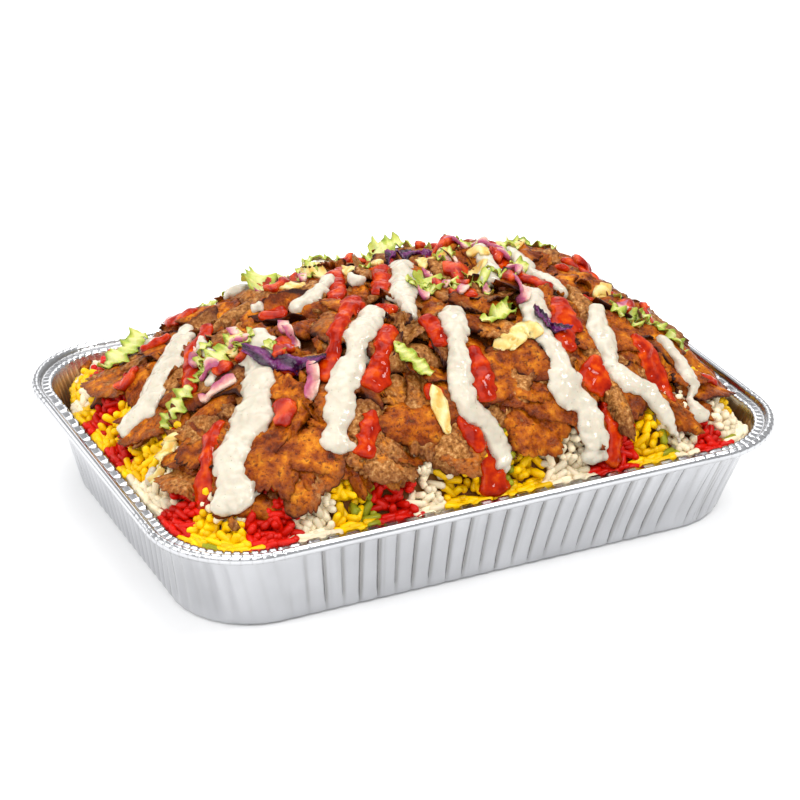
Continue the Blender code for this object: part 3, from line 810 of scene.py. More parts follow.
@dataclass
class FoilTray:
    """The pressed foil tray: fluted walls, crimped ledge and rolled edge."""

    length: float = 0.320
    width: float = 0.246
    rim_corner: float = 0.047
    base_inset: Spot = (0.0175, 0.0236)
    base_corner: float = 0.039
    wall_top: float = 0.0096
    thickness: float = 0.0014
    flutes: tuple[int, int, int] = (24, 18, 9)
    steps: int = 16
    groove: float = 0.0012
    panel: float = 0.00035
    crimp: float = 0.0011
    crease: float = 0.0009
    ripple: float = 0.0004
    pleat: float = 0.0014
    notch: float = 0.00035
    # strength of the golden painted reflection of the rice on the inner face
    juice: float = 0.75
    inner_pleats: float = 0.7
    seed: int = 5
    foot: tuple[Triple, ...] = (
        # inset from the foot, height and flute weight, from the middle of the base outwards
        (0.0300, 0.0006, 0.0), (0.0060, 0.0004, 0.0), (0.0040, 0.0, 0.0),
        (0.0022, 0.0003, 0.15), (0.0008, 0.0014, 0.4), (0.0001, 0.0032, 0.6),
    )
    inside: tuple[Triple, ...] = (
        # the same for the inner bottom, from the wall inwards
        (0.0045, 0.0011, 0.0), (0.0300, 0.0011, 0.0),
    )
    outer: tuple[Triple, ...] = (
        # height, share of the way from foot to wall top, flute weight
        (0.0060, 0.06, 0.7), (0.0100, 0.14, 1.0), (0.0170, 0.30, 1.0), (0.0240, 0.47, 1.0),
        (0.0310, 0.64, 1.0), (0.0380, 0.82, 1.0), (0.0425, 0.94, 0.7), (0.0450, 1.00, 0.3),
    )
    bead: tuple[Triple, ...] = (
        # inset, height and painted shade round the rolled edge, from under it over its top
        (0.0062, 0.0456, 0.9), (0.0040, 0.0459, 0.9), (0.0020, 0.0460, 0.7),
        (0.0007, 0.0467, 0.25), (0.0000, 0.0480, 0.0), (0.0002, 0.0494, 0.0),
        (0.0009, 0.0504, 0.0), (0.0019, 0.0510, 0.0), (0.0029, 0.0509, 0.0),
        (0.0038, 0.0502, 0.4), (0.0043, 0.0491, 1.0),
    )
    ledge: tuple[tuple[float, float, float, float], ...] = (
        # inset, height, share of the crimps' depth, and painted shade
        (0.0049, 0.0483, 0.0, 1.0), (0.0056, 0.0483, 0.25, 0.0), (0.0068, 0.0485, 0.55, 0.0),
        (0.0082, 0.0488, 0.90, 0.0), (0.0095, 0.0490, 1.0, 0.0), (0.0103, 0.0478, 0.6, 0.0),
    )

    def ring(self, inset_x: float, inset_y: float, radius: float) -> tuple[np.ndarray, np.ndarray]:
        """Return points and outward directions round the tray at an inset.

        Args:
            inset_x: Distance in from the rolled edge at the end walls.
            inset_y: Distance in from it at the side walls.
            radius: Corner radius.

        Returns:
            The points and the outward directions, one row for each column.
        """
        long_side, short_side, corner = (count * self.steps for count in self.flutes)
        middle = np.array([self.length / 2 - inset_x, self.width / 2 - inset_y]) - radius
        points, outwards = [], []
        signs = ((1, -1), (1, 1), (-1, 1), (-1, -1))
        for index, sign in enumerate(signs):
            centre = middle * sign
            turns = np.radians(90 * index - 90 + 90 * np.arange(corner) / corner)
            outward = np.stack([np.cos(turns), np.sin(turns)], 1)
            points.append(centre + radius * outward)
            outwards.append(outward)
            count = short_side if index % 2 == 0 else long_side
            turn = math.radians(90 * index)
            flat = np.array([math.cos(turn), math.sin(turn)])
            share = np.arange(count)[:, None] / count
            ends = centre, middle * signs[(index + 1) % 4]
            points.append(ends[0] * (1 - share) + ends[1] * share + radius * flat)
            outwards.append(np.broadcast_to(flat, (count, 2)))
        return np.vstack(points), np.vstack(outwards)

    def corner_weight(self) -> np.ndarray:
        """Tell the columns in a corner from those of the straight sides.

        Returns:
            For each column 1 in a corner, easing to 0 along the sides.
        """
        long_side, short_side, corner = (count * self.steps for count in self.flutes)
        runs = [1.0] * corner
        weights: list[float] = []
        for count in (short_side, long_side, short_side, long_side):
            edge = np.minimum(np.arange(count), count - np.arange(count)) / (2.2 * self.steps)
            weights += runs + list(np.clip(1 - edge, 0, 1))
        return np.array(weights)

    def build(self, finish: bpy.types.Material) -> bpy.types.Object:
        """Build and dress the tray.

        Args:
            finish: The material.

        Returns:
            The tray.
        """
        rng = np.random.default_rng(self.seed)
        columns = len(self.corner_weight())
        corner = self.corner_weight()
        flute = np.arange(columns) / self.steps
        number = np.floor(flute).astype(int)
        depth = rng.uniform(0.6, 1.25, number.max() + 2)[number]
        slant = rng.uniform(-0.10, 0.10, number.max() + 2)[number]
        second = (rng.random(number.max() + 2) < 0.35)[number]
        pleat_step = rng.uniform(0.55, 1.0, number.max() + 2).cumsum()
        crease = np.zeros(columns)
        crimped = np.exp(-(((flute * 1.67) % 1.0 - 0.5) / 0.10) ** 2)
        for centre in pleat_step * 0.5:
            gap = (flute - centre + columns / self.steps / 2) % (columns / self.steps)
            gap -= columns / self.steps / 2
            crease += rng.uniform(0.1, 1.0) * np.exp(-(gap / 0.11) ** 2)

        def wall(level: float, pleated: float = 0.0) -> np.ndarray:
            """Shape the flutes and creases at one height.

            Args:
                level: Share of the way up the wall.
                pleated: Share of the corners' even pleats over their loose creases.

            Returns:
                How far in each column lies.
            """
            phase = (flute + slant * (level - 0.5)) % 1.0
            line = np.exp(-((phase - 0.5) / 0.11) ** 2)
            pair = 0.55 * np.exp(-((phase - 0.78) / 0.07) ** 2) * second
            bulge = np.cos(2 * math.pi * (phase - 0.5)) * self.panel
            straight = self.groove * depth * (line + pair) + bulge
            turned = self.crease * crease + self.ripple * np.sin(flute * 5.1 + 3 * level)
            turned = turned * (1 - pleated) + self.pleat * crimped * pleated
            return straight * (1 - corner) + turned * corner

        phase = flute % 1.0
        pad = 0.5 * (1 + np.tanh((0.16 - np.abs(phase - 0.5)) / 0.05))
        dents = pad * (1 - corner) + 0.7 * crimped * corner
        rows: list[tuple[float, float, float, float, np.ndarray, np.ndarray]] = []
        shades: dict[int, float] = {}
        flat = np.zeros(columns)
        base_x, base_y = self.base_inset

        def lay_base(profile: tuple[Triple, ...]) -> None:
            """Add the rows of the base, outside or inside."""
            for inset, z, weight in profile:
                rows.append((base_x + inset, base_y + inset, self.base_corner - inset, z,
                             wall(0.0) * weight, flat))

        def lay_wall(profile: tuple[Triple, ...], inset: float,
                     pleated: float) -> None:
            """Add the rows of the wall, outside or inside.

            Args:
                profile: Height, share of the way up and flute weight of each row.
                inset: How far in from the outer face they lie.
                pleated: Share of even pleats in the corners.
            """
            for z, share, weight in profile:
                inset_x = base_x * (1 - share) + self.wall_top * share + inset
                inset_y = base_y * (1 - share) + self.wall_top * share + inset
                top_corner = self.rim_corner - self.wall_top
                radius = self.base_corner * (1 - share) + top_corner * share
                rows.append((inset_x, inset_y, radius - inset, z,
                             wall(share, pleated) * weight, flat))

        lay_base(self.foot)
        lay_wall(self.outer, 0.0, 0.0)
        # painted shade: each row's shade darkens the foil under and beside the rolled edge
        for inset, z, shade in self.bead:
            shades[len(rows)] = shade
            notched = self.notch * crimped * corner
            rows.append((inset, inset, self.rim_corner - inset, z, notched, notched))
        for inset, z, weight, shade in self.ledge:
            shades[len(rows)] = shade
            rows.append((inset, inset, self.rim_corner - inset, z, flat,
                         dents * self.crimp * weight))
        inner = len(rows)
        lay_wall(self.outer[-2:1:-1], self.thickness, self.inner_pleats)
        lay_base(self.inside)
        # the fold value is painted shade, in crimps and creases and round the rolled bead
        stack = MeshStack("fold", "juice")
        rings = []
        points = []
        painted_fold_shades = []
        painted_rice_reflections = []
        for inset_x, inset_y, radius, z, inward, drop in rows:
            place, outward = self.ring(inset_x, inset_y, radius)
            place = place - outward * inward[:, None]
            # painted shade: the deeper a crimp or crease, the darker it is painted
            painted_crease_shade = np.clip((inward + drop) / self.crimp, 0, 1) ** 2
            painted_fold_shades.append(np.maximum(painted_crease_shade, shades.get(len(points), 0.0)))
            # painted reflection: the inner rows get the golden tint
            painted_rice_reflections.append(np.full(columns, self.juice if len(points) >= inner else 0.0))
            rings.append(list(range(len(points) * columns, (len(points) + 1) * columns)))
            points.append(np.column_stack([place, z - drop]))
        faces = ring_faces(rings)
        faces.append(tuple(reversed(rings[0])))
        faces.append(tuple(rings[-1]))
        stack.add(np.vstack(points), faces, fold=np.concatenate(painted_fold_shades),
                  juice=np.concatenate(painted_rice_reflections))
        return dress(stack.build("foil_tray"), finish, Slot.FOIL, "tray")


@dataclass
class Scatter:
    """A Geometry Nodes tree that sets one small piece on many points, turned and sized."""

    name: str

    def tree(self) -> bpy.types.NodeTree:
        """Build the node tree.

        Returns:
            The tree, with the piece and its finish as named inputs.
        """
        group = bpy.data.node_groups.new(self.name, "GeometryNodeTree")
        face = group.interface
        face.new_socket("Points", in_out="INPUT", socket_type="NodeSocketGeometry")
        face.new_socket("Piece", in_out="INPUT", socket_type="NodeSocketObject")
        face.new_socket("Finish", in_out="INPUT", socket_type="NodeSocketMaterial")
        face.new_socket("Pieces", in_out="OUTPUT", socket_type="NodeSocketGeometry")
        entry = add_node(group, "NodeGroupInput")
        info = add_node(group, "GeometryNodeObjectInfo", {"Object": entry.outputs["Piece"]})
        turn = add_node(group, "GeometryNodeInputNamedAttribute", {"Name": "turn"},
                        data_type="FLOAT_VECTOR")
        size = add_node(group, "GeometryNodeInputNamedAttribute", {"Name": "size"},
                        data_type="FLOAT_VECTOR")
        rotation = add_node(group, "FunctionNodeEulerToRotation",
                            {"Euler": turn.outputs["Attribute"]})
        placed = add_node(group, "GeometryNodeInstanceOnPoints",
                          {"Points": entry.outputs["Points"],
                           "Instance": info.outputs["Geometry"],
                           "Rotation": rotation.outputs["Rotation"],
                           "Scale": size.outputs["Attribute"]})
        solid = add_node(group, "GeometryNodeRealizeInstances",
                         {"Geometry": placed.outputs["Instances"]})
        finished = add_node(group, "GeometryNodeSetMaterial",
                            {"Geometry": solid.outputs["Geometry"],
                             "Material": entry.outputs["Finish"]})
        add_node(group, "NodeGroupOutput", {"Pieces": finished.outputs["Geometry"]})
        return group

    def run(self, places: Sequence[Vector], turns: Sequence[Vector], sizes: Sequence[Vector],
            tones: Sequence[float], piece: bpy.types.Object,
            finish: bpy.types.Material) -> bpy.types.Object:
        """Set the piece on each place and return the result as a plain mesh.

        Args:
            places: Where each piece goes.
            turns: Its Euler angles.
            sizes: Its scale on each axis.
            tones: A number from 0 to 1 for its shade.
            piece: The small piece, which is removed afterwards.
            finish: The material.

        Returns:
            The pieces as one object.
        """
        mesh = bpy.data.meshes.new(self.name)
        mesh.from_pydata([tuple(place) for place in places], [], [])
        for label, vectors in (("turn", turns), ("size", sizes)):
            layer = mesh.attributes.new(label, "FLOAT_VECTOR", "POINT")
            layer.data.foreach_set("vector", np.array(vectors, np.float32).ravel())
        layer = mesh.attributes.new("tone", "FLOAT", "POINT")
        layer.data.foreach_set("value", np.array(tones, np.float32))
        item = bpy.data.objects.new(self.name, mesh)
        bpy.context.scene.collection.objects.link(item)
        modifier = item.modifiers.new("scatter", "NODES")
        group = self.tree()
        modifier.node_group = group
        named = {socket.name: socket.identifier for socket in group.interface.items_tree
                 if socket.in_out == "INPUT"}
        modifier[named["Piece"]] = piece
        modifier[named["Finish"]] = finish
        plain_mesh(item)
        bpy.data.objects.remove(piece, do_unlink=True)
        item.data.shade_smooth()
        return item


def capsule(name: str, length: float, radius: float, sides: int, bend: float) -> bpy.types.Object:
    """Build one grain along X: round, blunt at its ends and slightly bent.

    Args:
        name: The object's name.
        length: Its length.
        radius: Its greatest radius.
        sides: Number of its sides.
        bend: How far its ends hang.

    Returns:
        The grain.
    """
    stack = MeshStack()
    points = [(-length / 2, 0.0, -bend)]
    rings = []
    for along, share in ((-0.455, 0.66), (-0.34, 1.0), (0.34, 1.0), (0.455, 0.66)):
        rings.append(list(range(len(points), len(points) + sides)))
        for index in range(sides):
            turn = 2 * math.pi * index / sides
            points.append((length * along, radius * share * math.cos(turn),
                           radius * share * math.sin(turn) - bend * (2 * along) ** 2))
    points.append((length / 2, 0.0, -bend))
    faces = ring_faces(rings)
    last = len(points) - 1
    for index in range(sides):
        following = (index + 1) % sides
        faces.append((0, rings[0][following], rings[0][index]))
        faces.append((rings[-1][index], rings[-1][following], last))
    stack.add(np.array(points), [tuple(reversed(face)) for face in faces])
    return stack.build(name)


def laid(outward: Vector, heading: float, pitch: float, roll: float) -> Vector:
    """Return Euler angles that lay a piece on a slope.

    Args:
        outward: The surface's normal, which the piece's Z follows.
        heading: Turn about the normal, from level along the slope.
        pitch: Lift of one end.
        roll: Turn about its own length.

    Returns:
        XYZ Euler angles.
    """
    level = Vector((-outward.y, outward.x, 0.0))
    level = level.normalized() if level.length > 1e-5 else Vector((1.0, 0.0, 0.0))
    base = Matrix((level, outward.cross(level), outward)).transposed()
    local = Euler((roll, pitch, heading), "XYZ").to_matrix()
    return Vector((base @ local).to_euler("XYZ"))


@dataclass
class RiceBed:
    """The rice: a bumpy bed with real grains in coloured patches round the meat."""

    mound: Mound
    grain_length: float = 0.0090
    grain_radius: float = 0.0018
    near_wall: float = 0.0470
    far_wall: float = 0.0400
    # the rice levels out from this share of its outline, over so much more of it
    level_from: float = 0.925
    level_over: float = 0.060
    # how far out a grain may lie, less by the far walls and in the lower layers
    widest: float = 1.004
    far_inset: float = 0.048
    inset_by_depth: float = 3.2
    wander: float = 0.008
    # lift over the mound and number of grains round the tray, layer by layer
    layers: tuple[tuple[float, int], ...] = ((-0.0046, 130), (-0.0026, 150), (-0.0006, 150))
    rows: tuple[float, ...] = (0.838, 0.855, 0.872, 0.889, 0.906, 0.922, 0.938, 0.954, 0.968,
                               0.981, 0.994, 1.002)
    # share of the outline and depth of the skin under the grains, from the wall inwards
    skin: tuple[Spot, ...] = (
        (0.920, 0.026), (0.945, 0.018), (0.972, 0.0080), (0.966, 0.0052), (0.95, 0.0048),
        (0.93, 0.0050), (0.90, 0.0056), (0.87, 0.0062), (0.84, 0.0080), (0.80, 0.0120),
        (0.70, 0.0150), (0.40, 0.0150), (0.10, 0.0150),
    )
    seed: int = 21
    patches: dict[Grain, tuple[Spot, ...]] = field(default_factory=lambda: {
        Grain.RED: ((-0.123, 0.070), (-0.143, 0.037), (-0.149, 0.006), (-0.145, -0.069),
                    (-0.112, -0.099), (-0.050, -0.106), (0.062, -0.103), (0.114, -0.103)),
        Grain.YELLOW: ((-0.139, 0.080), (-0.145, 0.051), (-0.143, 0.018), (-0.137, -0.022),
                       (-0.132, -0.092), (-0.130, -0.103), (-0.075, -0.104), (-0.016, -0.104),
                       (0.016, -0.107), (0.085, -0.103), (0.134, -0.080), (0.142, -0.060)),
        Grain.WHITE: ((-0.133, 0.104), (-0.124, 0.099), (-0.145, 0.062), (-0.146, -0.034),
                      (-0.147, -0.049), (-0.120, -0.086), (-0.086, -0.103), (-0.033, -0.104),
                      (0.036, -0.107), (0.099, -0.099), (0.126, -0.100), (0.144, -0.090)),
        Grain.GREEN: ((-0.144, 0.068), (-0.134, -0.098), (-0.067, -0.104), (0.010, -0.102),
                      (0.092, -0.105), (0.122, -0.102)),
    })

    def colour_at(self, x: float, y: float, rng: random.Random) -> Grain:
        """Find the nearest patch of colour, the back being the front turned.

        Args:
            x: Where it lies along the tray.
            y: Where it lies across it.
            rng: The source of ragged borders.

        Returns:
            The grain's colour.
        """
        if y / self.mound.rice_y > 0.97 * abs(x) / self.mound.rice_x or (x > 0 and y > -0.07):
            x, y = -x, -y
        best, found = 1.0, Grain.WHITE
        for colour, spots in self.patches.items():
            bias = 0.006 if colour is Grain.GREEN else 0.0
            for spot in spots:
                gap = math.hypot(x - spot[0], y - spot[1]) + bias + rng.uniform(0, 0.006)
                if gap < best:
                    best, found = gap, colour
        return found

    def bed(self, finish: bpy.types.Material) -> bpy.types.Object:
        """Build the bed under the grains: a bumpy skin, in painted shade, that reaches into the tray.

        Args:
            finish: The material.

        Returns:
            The dressed bed.
        """
        stack = MeshStack("tone")
        points, rings = [], []
        columns = 240
        outline = self.outline(columns)
        for scale, drop in self.skin:
            rings.append(list(range(len(points), len(points) + columns)))
            for x, y in outline:
                inner = scale - 0.034 * self.sunk(x, y)
                place = self.place(x * inner, y * inner, scale, -drop)
                bump = noise.noise(place * per_metre(4.0)) * 0.0014
                points.append(place + Vector((0, 0, bump)))
        faces = ring_faces(rings)
        faces.append(tuple(rings[-1]))
        # painted shade: a low tone darkens the skin further
        stack.add(np.array(points), faces, tone=0.2)
        return dress(stack.build("rice_under"), finish, Slot.RICE)

    def sunk(self, x: float, y: float) -> float:
        """Tell where the rice lies lower.

        Args:
            x: Where it lies along the tray.
            y: Where it lies across it.

        Returns:
            1 by the back and right walls, easing to 0 elsewhere.
        """
        back = min(1.0, max(0.0, (y - 0.050) / 0.030))
        right = min(1.0, max(0.0, (x - 0.122) / 0.020)) * min(1.0, max(0.0, (y + 0.100) / 0.018))
        return max(back, right)

    def place(self, x: float, y: float, scale: float, lift: float) -> Vector:
        """Return a point of the rice: on the mound, but level by the walls.

        Args:
            x: Where it lies along the tray.
            y: Where it lies across it.
            scale: How far out it lies, 1 being the rice's outline.
            lift: How far it stands off the rice's surface.

        Returns:
            The point.
        """
        sunk = self.sunk(x, y)
        share = min(1.0, max(0.0, (scale - self.level_from) / self.level_over))
        brim = self.near_wall * (1 - sunk) + self.far_wall * sunk
        height = self.mound.height(x, y) * (1 - share) + brim * share
        outward = self.mound.normal(x, y).lerp(Vector((0, 0, 1)), share)
        return Vector((x, y, height)) + outward * lift

    def outline(self, columns: int) -> list[Spot]:
        """Follow the rice's outline, a rounded rectangle.

        Args:
            columns: Number of points.

        Returns:
            The points, evenly spaced.
        """
        tray = FoilTray()
        place, outward = tray.ring(tray.length / 2 - self.mound.rice_x,
                                   tray.width / 2 - self.mound.rice_y, 0.036)
        picks = np.linspace(0, len(place), columns, endpoint=False).astype(int)
        return [(float(x), float(y)) for x, y in place[picks]]

    def lay_grain(self, held: dict[Grain, list], outline: list[Spot], scale: float,
                  depth: float, along: float, rng: random.Random) -> None:
        """Lay one grain: clusters lie alike, and grains by the wall follow it.

        Args:
            held: For each colour, the grains so far.
            outline: The rice's outline.
            scale: How far out the grain lies.
            depth: Its lift over the mound.
            along: Share of the way round the outline.
            rng: The source of unevenness.
        """
        edge = outline[int(along * len(outline)) % len(outline)]
        sunk = self.sunk(*edge)
        # the walls draw in towards the base, so lower grains lie farther in
        limit = self.widest - self.far_inset * sunk + self.inset_by_depth * depth
        scale = min(scale + rng.uniform(-self.wander, self.wander), limit)
        x, y = edge[0] * scale, edge[1] * scale
        place = self.place(x, y, scale, depth + rng.uniform(-0.0008, 0.0008))
        drift = noise.noise(Vector((x, y, 5.0)) * per_metre(14.0)) * 4.0
        heading = drift + rng.gauss(0, 0.9)
        pitch = rng.uniform(-1.25, 1.25)
        if scale > limit - 0.034:
            heading = rng.gauss(0, 0.20)
            pitch *= 0.25
        turn = laid(self.mound.normal(x, y), heading, pitch, rng.uniform(0, 6.3))
        size = Vector((rng.uniform(0.70, 1.15), rng.uniform(0.90, 1.12), rng.uniform(0.90, 1.12)))
        held[self.colour_at(x, y, rng)].append((place, turn, size, rng.random()))

    def build(self) -> list[bpy.types.Object]:
        """Build and dress the bed and the grains of each colour.

        Returns:
            The pieces.
        """
        rng = random.Random(self.seed)
        outline = self.outline(600)
        held: dict[Grain, list[tuple[Vector, Vector, Vector, float]]] = {
            colour: [] for colour in Grain}
        for depth, count in self.layers:
            for scale in self.rows:
                for index in range(count):
                    self.lay_grain(held, outline, scale, depth, (index + rng.random()) / count,
                                   rng)
        # painted shade: the skin under the grains is dark brown so that the gaps between grains read as
        # shade
        made = [self.bed(SteamedRice("shaded rice", "#84521E").build())]
        nodes = {Grain.WHITE: ("rice_bed",)}
        for colour, rows in held.items():
            name = f"rice_{colour.name.lower()}"
            finish = SteamedRice(f"steamed {colour.name.lower()} rice", colour.value).build()
            piece = capsule("grain", self.grain_length, self.grain_radius, 7, 0.0004)
            places, turns, sizes, tones = zip(*rows)
            item = Scatter(name).run(places, turns, sizes, tones, piece, finish)
            made.append(dress(item, finish, Slot.RICE, *nodes.get(colour, ())))
        return made


@dataclass(frozen=True)
class Slice:
    """One slice of meat: where it lies and how it curls."""

    x: float
    y: float
    heading: float
    length: float
    width: float
    tone: float = 0.8
    lift: float = 0.003
    lean: float = 0.16
    roll: float = 0.0
    curl: float = 0.003
    ruffle: float = 0.0014
    burn: float = 0.0


@dataclass
class MeatHeap:
    """The heap of grilled slices over a rough core of small pieces."""

    mound: Mound
    seed: int = 11
    spokes: int = 112
    tooth: int = 4
    tooth_depth: float = 0.0012
    thickness: float = 0.0042
    scattered: int = 200
    batch: int = 76
    crumbs: int = 800
    lowest: float = 0.930
    tallest: float = 0.0100
    farthest: float = 0.90
    rim_reach: float = 0.962
    # share of their stated length and width that the named slices take
    named_share: Spot = (0.92, 0.86)
    # x, y, heading in degrees, length, width and tone of the slices that stand out
    named: tuple[tuple[float, float, float, float, float, float], ...] = (
        (-0.116, -0.050, -125, 0.042, 0.024, 0.85), (-0.097, -0.078, -128, 0.046, 0.030, 0.95),
        (-0.078, -0.086, -18, 0.040, 0.020, 0.90), (-0.090, -0.096, -145, 0.034, 0.026, 0.60),
        (-0.051, -0.090, -15, 0.040, 0.026, 0.25), (-0.058, -0.099, -5, 0.030, 0.020, 0.45),
        (-0.035, -0.087, -8, 0.036, 0.018, 0.80), (-0.016, -0.096, -14, 0.034, 0.018, 0.55),
        (0.021, -0.080, -2, 0.048, 0.026, 0.95), (0.029, -0.089, -12, 0.046, 0.016, 0.90),
        (0.023, -0.098, -10, 0.038, 0.020, 0.75), (0.070, -0.090, -88, 0.034, 0.018, 0.25),
        (0.093, -0.095, -34, 0.042, 0.014, 0.70), (-0.126, 0.044, -86, 0.040, 0.026, 0.60),
        (-0.045, -0.037, -89, 0.036, 0.028, 0.55), (-0.136, -0.062, -76, 0.030, 0.018, 0.50),
        (-0.012, -0.081, 1, 0.028, 0.018, 0.70), (0.027, -0.074, -20, 0.032, 0.018, 0.90),
        (0.051, -0.098, -26, 0.026, 0.016, 0.70), (0.120, -0.084, 20, 0.034, 0.018, 0.80),
        (0.104, -0.066, -40, 0.030, 0.018, 0.70), (0.084, -0.069, -14, 0.026, 0.016, 0.75),
        (0.047, -0.066, -72, 0.028, 0.020, 0.80), (-0.132, -0.009, -65, 0.034, 0.020, 0.65),
        (-0.104, 0.033, -66, 0.030, 0.020, 0.80), (-0.080, -0.011, -89, 0.030, 0.020, 0.75),
        (-0.063, -0.068, 9, 0.026, 0.018, 0.65),
    )
    # x, y, heading in degrees, length and width of the frilled ones that stand on the ridge
    standing: tuple[tuple[float, float, float, float, float], ...] = (
        (-0.086, 0.064, -30, 0.016, 0.013), (-0.064, 0.054, -20, 0.015, 0.012),
        (-0.028, 0.034, -25, 0.014, 0.012), (-0.018, 0.032, 10, 0.012, 0.010),
        (0.078, 0.016, -20, 0.012, 0.010),
    )

    def core(self, finish: bpy.types.Material) -> bpy.types.Object:
        """Build the rough core that shows between the slices, dark with painted shade.

        Args:
            finish: The material.

        Returns:
            The dressed core.
        """
        stack = MeshStack("tone", "char")
        points, rings, columns = [], [], 200
        outline = RiceBed(self.mound).outline(columns)
        scales = [0.885, 0.900, 0.895] + [0.880 - 0.022 * index for index in range(40)]
        for index, scale in enumerate(scales):
            rings.append(list(range(len(points), len(points) + columns)))
            for x, y in outline:
                place = self.mound.spot(x * scale, y * scale)
                drop = 0.0085 if index == 0 else 0.0045
                rough = noise.fractal(place * per_metre(8.0), 0.8, 2.2, 4) * 0.0026
                points.append(place + self.mound.normal(place.x, place.y) * (rough - drop))
        faces = ring_faces(rings)
        faces.append(tuple(rings[-1]))
        # painted shade: the core's high char value darkens the gaps between the slices
        stack.add(np.array(points), faces, tone=0.5, char=0.85)
        return dress(stack.build("meat_core"), finish, Slot.MEAT, "meat_heap")

    def add_slice(self, stack: MeshStack, piece: Slice, rng: random.Random) -> None:
        """Add one slice to the stack: ragged outline, curled, its edge charred, its underside in painted
        shade.

        Args:
            stack: The mesh that gets it.
            piece: The slice.
            rng: The source of unevenness.
        """
        direction = Vector((math.cos(piece.heading), math.sin(piece.heading)))
        sideways = Vector((-direction.y, direction.x))
        base = self.mound.normal(piece.x, piece.y)
        downhill = Vector((base.x, base.y))
        downhill = downhill.normalized() if downhill.length > 1e-4 else Vector((0.0, -1.0))
        phase = [rng.uniform(0, 6.3) for index in range(4)]
        waves = rng.choice((4, 6, 8))
        radii = []
        deep = self.tooth_depth * 4 / (piece.length + piece.width)
        teeth = [deep * rng.uniform(0.2, 1.3) for index in range(self.spokes)]
        for index in range(self.spokes):
            turn = 2 * math.pi * index / self.spokes
            radius = 1 + 0.13 * math.sin(2 * turn + phase[0]) + 0.10 * math.sin(3 * turn + phase[1])
            radius += 0.07 * math.sin(7 * turn + phase[2])
            bump = math.sin(math.pi * (index % self.tooth) / self.tooth)
            radii.append(radius + teeth[index // self.tooth] * (bump - 0.5))
        rim_char = rng.uniform(0.45, 1.0)
        offset = Vector((rng.uniform(-99, 99), rng.uniform(-99, 99), rng.uniform(-99, 99)))
        level = Vector((-downhill.y, downhill.x))
        lowest = self.lowest + rng.uniform(-0.020, 0.026)
        tips = [direction * piece.length / 2, direction * -piece.length / 2,
                sideways * piece.width / 2, sideways * -piece.width / 2]
        farthest = max(self.mound.reach(piece.x + tip.x, piece.y + tip.y) for tip in tips)
        own = self.mound.reach(piece.x, piece.y)
        shift = min(1.0, 1 - (farthest - lowest) / max(own, 0.1))
        middle = Vector((piece.x, piece.y)) * shift

        def surface(index: int, share: float, under: bool) -> tuple[Vector, float]:
            """Place one point of the slice.

            Args:
                index: Its spoke.
                share: Its share of the way out to the rim.
                under: Whether it lies on the under side.

            Returns:
                The point and its char, with painted shade on the underside.
            """
            turn = 2 * math.pi * index / self.spokes
            radius = radii[index] if share > 0.93 else 1 + (radii[index] - 1) * share * share
            along = share * radius * math.copysign(abs(math.cos(turn)) ** 0.85, math.cos(turn))
            across = share * radius * math.copysign(abs(math.sin(turn)) ** 0.85, math.sin(turn))
            flat = direction * along * piece.length / 2 + sideways * across * piece.width / 2
            height = piece.lift + piece.lean * flat.dot(downhill) + piece.roll * flat.dot(level)
            height += piece.curl * (across * across - 0.35)
            height += piece.ruffle * share ** 2 * math.sin(waves * turn + phase[3])
            spot = Vector((flat.x, flat.y, 0.0))
            height += noise.noise(spot * per_metre(7.0) + offset) * 0.0019
            height += noise.noise(spot * per_metre(3.0) + offset) * 0.0009
            swell = self.thickness * (1.0 - share ** 6)
            height += -0.6 * swell - 0.0008 if under else 0.4 * swell
            height = self.tallest * math.tanh(height / self.tallest)
            x, y = middle.x + flat.x, middle.y + flat.y
            limit = self.mound.reach(x, y)
            if limit > self.rim_reach:
                x, y = x * self.rim_reach / limit, y * self.rim_reach / limit
            place = self.mound.spot(x, y)
            outward = (base + self.mound.normal(x, y)).normalized()
            char = rim_char * max(0.0, (share - 0.64) / 0.36) ** 1.5
            char += piece.burn * (0.6 + noise.noise(spot * per_metre(9.0) + offset))
            # painted shade: the underside is painted dark through the char value
            char = max(char, 0.7) if under else char
            return place + outward * height, min(1.0, max(0.0, char))

        points, chars_and_painted_shades, rings = [], [], []
        for share, under in ((0.20, False), (0.38, False), (0.54, False), (0.68, False),
                             (0.80, False), (0.89, False), (0.95, False), (1.0, False),
                             (0.99, True), (0.88, True), (0.5, True)):
            rings.append(list(range(len(points), len(points) + self.spokes)))
            for index in range(self.spokes):
                place, char = surface(index, share, under)
                points.append(place)
                chars_and_painted_shades.append(char)
        for under, ring in ((False, rings[0]), (True, rings[-1])):
            points.append(sum((points[number] for number in ring), Vector()) / self.spokes)
            chars_and_painted_shades.append(0.0)
        faces = ring_faces(rings)
        for index in range(self.spokes):
            following = (index + 1) % self.spokes
            faces.append((rings[0][following], rings[0][index], len(points) - 2))
            faces.append((rings[-1][index], rings[-1][following], len(points) - 1))
        faces = [tuple(reversed(face)) for face in faces]
        stack.add(np.array(points), faces, tone=piece.tone, char=np.array(chars_and_painted_shades))

